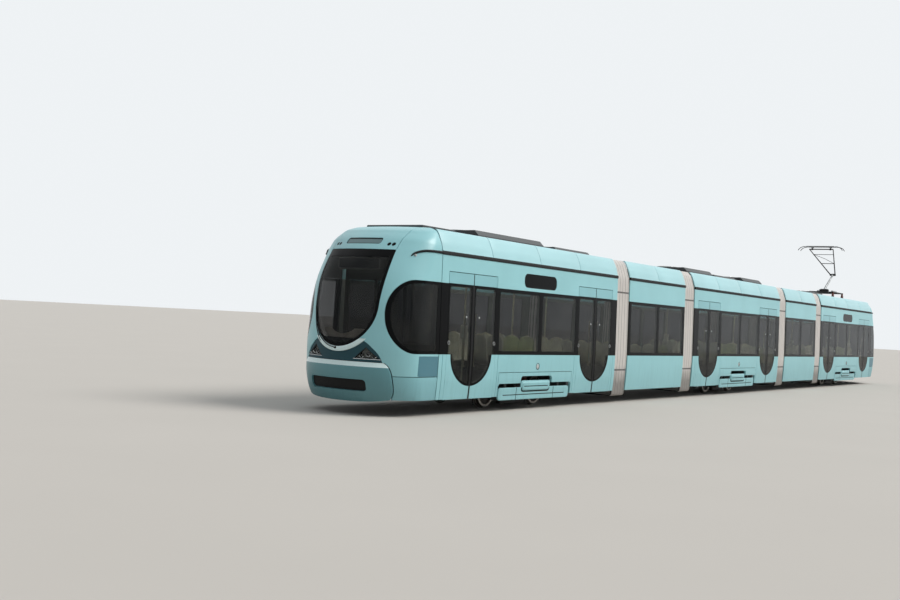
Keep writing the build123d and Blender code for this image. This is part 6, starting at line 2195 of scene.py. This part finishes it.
        strip = [self.screen(0.080), without(self.screen(0.002)), lambda p: 1.259 - p[:, 2]]
        top = self.mask_top
        out.add(self.patch(0.60, np.linspace(1.02, top, 44), 0.008).cut(strip, 0.03, crown), "ring_paint")
        mask = [self.mask(0.0), without(self.screen(0.083)), without(self.cluster(-0.004)),
                keep_above(2, self.ledge_z)]
        # The mask in dark turquoise: painted shade in the recess
        out.add(self.patch(0.95, np.linspace(0.88, top, 48), 0.010).cut(mask, 0.022, -0.012), "mask_paint")
        behind = self.patch(1.05, np.linspace(self.ledge_z, top, 14), 0.05)
        out.add(behind.cut([self.mask(-0.03)], 0.004, -0.062), "seal_rubber")

    def lining(self, out: Builder) -> None:
        """The dark inner skin that shows through the glass."""
        joint = LAYOUT.nose_joint + 0.006
        fields = [lambda p: np.abs(p[:, 0]) - joint, without(self.screen(0.0)),
                  without(self.window(0.0, joint - 0.05))]
        inner = self.patch(self.reach, np.linspace(0.36, 2.70, 60), 0.045)
        out.add(inner.cut(fields, 0.008, -0.045), "cab_moulding")

    def windscreen(self, out: Builder) -> None:
        """Gasket, printed frame, deeper at the top, and the clear middle."""
        def middle(grow: float) -> Field:
            """The clear part's outline."""
            return lambda p: np.minimum(self.screen(grow - 0.045)(p), 2.615 + grow - p[:, 2])

        heights = np.linspace(1.10, 2.75, 90)
        whole = self.patch(0.78, heights, 0.014)
        gasket = [self.screen(-0.0005), without(self.screen(-0.012))]
        out.add(whole.cut(gasket, 0.025, -0.004), "seal_rubber")
        out.add(whole.cut([self.screen(-0.008), without(middle(0.0))], 0.008), "black_frit")
        out.add(whole.cut([middle(0.012)], 0.008, -0.0025), "screen_glass")
        dash = [self.screen(-0.06), without(self.screen(-0.22)), keep_below(2, 1.42)]
        out.add(whole.cut(dash, 0.010, -0.085), "dash_cream")

    def corners(self, out: Builder) -> None:
        """The corner windows: printed frames and clear middles on both flanks."""
        joint = LAYOUT.nose_joint + 0.004
        angles = np.concatenate([np.linspace(-self.reach, -0.55, 95), np.linspace(0.55, self.reach, 95)])
        grid = Patch(self.place, angles, np.linspace(1.04, 2.27, 90), self.end.value)
        flank = lambda p: np.abs(p[:, 1]) - 0.61
        frame = [lambda p: np.abs(p[:, 0]) - joint, flank, self.window(0.001, joint - 0.05),
                 without(self.window(0.050, 14.50))]
        out.add(grid.cut(frame, 0.008), "black_frit")
        out.add(grid.cut([flank, self.window(0.040, 14.49)], 0.007, -0.0025), "cabin_glass")

    def bumper(self, out: Builder) -> None:
        """A proud band: lift rises from the ledge, rolls under at the foot, with a ridge over its slot."""
        low, ledge, high = self.bumper_z
        half, slot_low, slot_high = self.slot

        def lift(p: Array) -> Array:
            """How far the band stands out at a point."""
            z = p[:, 2]
            top = np.clip((high - z) / (high - ledge), 0, 1)
            foot = np.clip((z - low) / 0.10, 0, 1)
            ridge = 0.002 * np.exp(-((z - 0.628) / 0.006) ** 2) * (np.abs(p[:, 1]) < half + 0.02)
            ahead = np.maximum(self.seam(p), 0)
            swell = 0.0255 * np.sin(np.minimum(ahead / 0.28, 1) * math.pi / 2)
            proud = 0.012 + swell - 0.008 * np.exp(-ahead / 0.006)
            return proud * top * (1 - 0.45 * (1 - foot) ** 2) + ridge

        heights = np.concatenate([np.linspace(low, ledge, 72), np.linspace(ledge + 0.006, high, 14)])
        band = self.patch(math.pi / 2 + 0.25, heights, 0.016)
        foot_edge = lambda p: p[:, 2] - hermite(np.abs(p[:, 0]), self.foot_x, self.foot_z)
        front = lambda p: np.minimum(self.seam(p), foot_edge(p))
        middle = (slot_low + slot_high) / 2
        size = (half, (slot_high - slot_low) / 2)
        lower = [front, keep_below(2, ledge + 0.006), hole(FRONT_VIEW, (0, middle), size, 0.055)]
        # The bumper's band in a darker turquoise, painted shade
        out.add(band.cut(lower, 0.040, lift), "bumper_paint")
        # The ledge in the pale tone: a painted highlight
        out.add(band.cut([front, keep_above(2, ledge + 0.006)], 0.040, lift), "ring_paint")
        recess = plate(FRONT_VIEW, (0, middle), (size[0] + 0.004, size[1] + 0.004), 0.058)
        behind = self.patch(0.62, np.linspace(slot_low - 0.01, slot_high + 0.01, 16), 0.02)
        out.add(behind.cut([recess], 0.02, 0.006), "seal_rubber")

    def lights(self, out: Builder) -> None:
        """Lamp triangles with three round lamps and a clear cover each, marker lamps and the sign slot."""
        grid = self.patch(0.85, np.linspace(0.93, 1.13, 40), 0.008)
        out.add(grid.cut([self.cluster(-0.006)], 0.006, -0.046), "lamp_well")
        out.add(grid.cut([self.cluster(-0.003), without(self.cluster(0.004))], 0.032, -0.014), "seal_rubber")
        out.add(grid.cut([self.cluster(0.002)], 0.004, -0.015), "lamp_cover")
        for side in (-1, 1):
            for y, z in self.discs:
                self.disc(out, side * y, z)
            line = [(self.ahead(y, 0.930) - 0.010, side * y, 0.930) for y in np.linspace(0.335, 0.775, 14)]
            out.add(sweep(line, 0.005, 8), "bright_metal", self.end)
        top = self.patch(0.72, np.linspace(2.80, 2.96, 80), 0.007)
        for side in (-1, 1):
            for y in self.markers:
                spot = plate(FRONT_VIEW, (side * y, self.marker_z), (0.0295, 0.0295), 0.0295)
                out.add(top.cut([spot], 0.02, -0.002), "black_frit")
        slot = plate(FRONT_VIEW, (0, self.sign_z), (0.364, 0.046), 0.024)
        out.add(top.cut([slot], 0.015, -0.007), "slot_grey")
        rim = [plate(FRONT_VIEW, (0, self.sign_z), (0.371, 0.053), 0.031),
               hole(FRONT_VIEW, (0, self.sign_z - 0.004), (0.362, 0.038), 0.022)]
        out.add(top.cut(rim, 0.012, -0.004), "black_frit")

    def disc(self, out: Builder, y: float, z: float, radius: float = 0.036) -> None:
        """A round lamp in a cluster: bowl, dome and the bright crescent under it."""
        x = self.ahead(abs(y), z) - 0.050
        bowl = [(radius - 0.006, x - 0.004), (radius, x), (radius + 0.004, x + 0.018), (radius, x + 0.020),
                (radius - 0.006, x + 0.004)]
        dome = [(radius - 0.005, x + 0.002), (radius - 0.006, x + 0.009), (radius * 0.55, x + 0.015),
                (0.003, x + 0.017)]
        out.add(lathe(bowl, (0, y, z), 0, 32, closed=True), "seal_rubber", self.end)
        lens = "lamp_white" if self.end is End.FRONT else "lamp_smoke"
        out.add(lathe(dome, (0, y, z), 0, 32), lens, self.end)
        turn = np.linspace(1.12 * math.pi, 1.88 * math.pi, 14)
        rim = np.stack([np.full(14, x + 0.020), y + 0.043 * np.cos(turn), z + 0.043 * np.sin(turn)], axis=1)
        out.add(sweep(rim, 0.0055, 8), "lamp_white", self.end)

    def fittings(self, out: Builder) -> None:
        """Drip hooks over the corner windows, camera pods under them and a parked wiper."""
        path = soft([self.beside(x, z, 0.004) for x, z in zip(self.hook_x, self.hook_z)])
        taper = np.interp(np.linspace(0, 1, len(path)), [0, 0.75, 1], [0.024, 0.020, 0.007])
        pod_x, pod_y, pod_z = self.beside(14.965, 2.672, 0.0)
        pod = [(0.020, pod_y + 0.01), (0.021, pod_y - 0.006), (0.017, pod_y - 0.016), (0.003, pod_y - 0.020)]
        for side in (-1, 1):
            out.add(self.turned(sweep(path, taper, 10), side), "seal_rubber", self.end)
            out.add(self.turned(lathe(pod, (pod_x, 0.0, pod_z), 1, 24), side), "unit_paint", self.end)
        spine = [(0.02, 1.086), (0.20, 1.130), (0.40, 1.260), (0.53, 1.450)]
        arm = [(self.ahead(y, z) + 0.030, y, z) for y, z in spine]
        out.add(sweep(soft(arm), 0.008, 8), "seal_rubber", self.end)
        blade_at = [(0.40, 1.18), (0.52, 1.33), (0.60, 1.52), (0.645, 1.75)]
        blade = soft([(self.ahead(y, z) + 0.012, y, z) for y, z in blade_at])
        out.add(sweep(blade, 0.007, 8), "seal_rubber", self.end)
        x = self.ahead(0.02, 1.086)
        boss = [(0.020, x - 0.01), (0.020, x + 0.014), (0.015, x + 0.022), (0.003, x + 0.024)]
        out.add(lathe(boss, (0, 0.02, 1.086), 0, 24), "seal_rubber", self.end)

    @staticmethod
    def turned(shape: Shape, side: int) -> Shape:
        """A right-hand shape, or its like on the left: Y changes sign and every face turns round."""
        return shape if side < 0 else (shape[0] * [1.0, -1.0, 1.0], [part[:, ::-1] for part in shape[1]])


# Studio


@dataclass
class Studio:
    """Camera at the photograph's viewpoint, pale floor, pale world, a soft sun and a broad light above."""

    place: Colour = (-29.1193, -11.5977, 1.6788)
    yaw: float = 0.609759
    pitch: float = 0.016198
    roll: float = 0.055690
    sensor: float = 36.0
    focal_share: float = 1075.0 / 900
    ground: str = "c9c5bf"
    suns: tuple[tuple, ...] = (
        ("sun", 2.35, (1.0, 0.97, 0.93), 30, (0.50, -0.72, 0.85)),
        ("sky", 0.60, (0.95, 0.98, 1.0), 110, (0.10, -0.05, 1.0)),
    )

    skies: tuple[tuple[Colour, float], ...] = (((0.92, 0.96, 1.0), 0.28), ((0.86, 0.89, 0.91), 1.0))

    def camera(self) -> None:
        """Aim the camera: forward from yaw and pitch, then rolled about that line."""
        level = math.cos(self.pitch)
        forward = np.array([math.cos(self.yaw) * level, math.sin(self.yaw) * level, math.sin(self.pitch)])
        right = np.cross(forward, [0.0, 0.0, 1.0])
        right /= np.linalg.norm(right)
        up = np.cross(right, forward)
        c, s = math.cos(self.roll), math.sin(self.roll)
        right, up = c * right + s * up, -s * right + c * up
        data = bpy.data.cameras.new("view")
        data.lens = self.focal_share * self.sensor
        data.sensor_width = self.sensor
        data.clip_end = 400.0
        made = bpy.data.objects.new("view", data)
        bpy.context.scene.collection.objects.link(made)
        turn = Matrix((right, up, -forward)).transposed().to_4x4()
        made.matrix_world = Matrix.Translation(self.place) @ turn
        bpy.context.scene.camera = made

    def floor(self) -> None:
        """A wide level sheet, whose colour drifts a little."""
        mesh = bpy.data.meshes.new("ground")
        size = 220.0
        mesh.from_pydata([(-size, -size, 0), (size, -size, 0), (size, size, 0), (-size, size, 0)], [],
                         [(0, 1, 2, 3)])
        made = bpy.data.objects.new("ground", mesh)
        bpy.context.scene.collection.objects.link(made)
        s = Shader("ground")
        tone = linear(self.ground)
        drift = s.mix(s.noise(0.4, 4.0) * 0.5, tone, tuple(c * 0.9 for c in tone))
        mesh.materials.append(s.finish(Base_Color=drift, Roughness=0.9))

    def light(self) -> None:
        """Pale world, brighter to the camera, mirrors and glass, and the two suns."""
        world = bpy.data.worlds.new("studio")
        bpy.context.scene.world = world
        s = Shader("studio", world)
        ray = s.node("ShaderNodeLightPath").outputs
        seen = s.math("MAXIMUM", ray["Is Camera Ray"], ray["Is Glossy Ray"])
        seen = s.math("MAXIMUM", seen, ray["Is Transmission Ray"])
        soft_sky, shown_sky = (s.node("ShaderNodeBackground", None, {"Color": colour, "Strength": strength})
                               for colour, strength in self.skies)
        mixed = s.node("ShaderNodeMixShader", None,
                       {0: seen, 1: soft_sky.outputs[0], 2: shown_sky.outputs[0]})
        s.node("ShaderNodeOutputWorld", None, {"Surface": mixed.outputs[0]})
        for name, energy, colour, angle, towards in self.suns:
            data = bpy.data.lights.new(name, "SUN")
            data.energy = energy
            data.color = colour
            data.angle = math.radians(angle)
            made = bpy.data.objects.new(name, data)
            bpy.context.scene.collection.objects.link(made)
            made.matrix_world = Matrix(tuple(map(tuple, self.facing(np.array(towards))))).to_4x4()

    @staticmethod
    def facing(towards: Array) -> Array:
        """Rotation whose Z axis points to a light's place."""
        back = towards / np.linalg.norm(towards)
        side = np.cross([0.0, 0.0, 1.0], back)
        side /= np.linalg.norm(side)
        return np.stack([side, np.cross(back, side), back], axis=1)

    def build(self) -> None:
        """Set the studio up."""
        scene = bpy.context.scene
        scene.view_settings.view_transform = "Standard"
        self.camera()
        self.floor()
        self.light()


# Solids that stay, and the finish of each
KEPT = {
    **{f"floor_{number}": "floor_sheet" for number in range(1, 6)},
    **{f"bogie_frame_{number}": "frame_paint" for number in range(1, 4)},
    **{f"roof_units_{number}": "unit_dark" for number in (1, 3, 5)},
}
ROOF_ROWS = (
    (1, ((8.15, 9.65, 0.64, 0.33), (14.00, 14.38, 0.56, 0.20))),
    (3, ((-2.90, -1.10, 0.68, 0.38), (-0.70, 0.90, 0.64, 0.33), (1.30, 2.90, 0.68, 0.38))),
    (5, ((-9.65, -8.15, 0.64, 0.33), (-12.70, -10.30, 0.68, 0.38), (-14.38, -13.30, 0.56, 0.26))),
)
GANGWAYS = ((2, 1, 7.137, 7.738), (3, 2, 3.362, 3.963), (4, 3, -3.963, -3.362), (5, 4, -7.738, -7.137))


def dress_solids(finishes: Finishes) -> None:
    """Give every solid that stays its finish."""
    for node, finish in KEPT.items():
        made = frame["nodes"][node]
        for place in made.material_slots:
            place.material = finishes[finish]
        if not made.material_slots:
            made.data.materials.append(finishes[finish])


def main() -> None:
    """Build the tram's sub-assemblies in order, then the studio."""
    logging.basicConfig(level=logging.INFO, format="%(message)s")
    finishes = Finishes()
    dress_solids(finishes)
    units = {1: 1, 3: 2, 5: 3}
    for car in CARS:
        SideWalls(finishes, car).build()
        RoofShell(finishes, car).build()
        Saloon(finishes, car).build()
        if car.number in units:
            unit = units[car.number]
            BogieCovers(finishes, unit, car).build()
            BogieDetails(finishes, unit, car.bogie).build()
            for letter, hand in (("a", 1), ("b", -1)):
                Wheels(finishes, unit, letter, car.bogie + hand * LAYOUT.wheelbase / 2).build()
    for number, rows in ROOF_ROWS:
        RoofUnits(finishes, number, rows).build()
    for rear, front, start, stop in GANGWAYS:
        Bellows(finishes, rear, front, start, stop).build()
    Pantograph(finishes).build()
    for end in End:
        nose = Nose(finishes, end)
        nose.build()
        Cab(finishes, nose).build()
    Studio().build()
    bpy.context.view_layer.update()


if __name__ == "__main__":
    main()
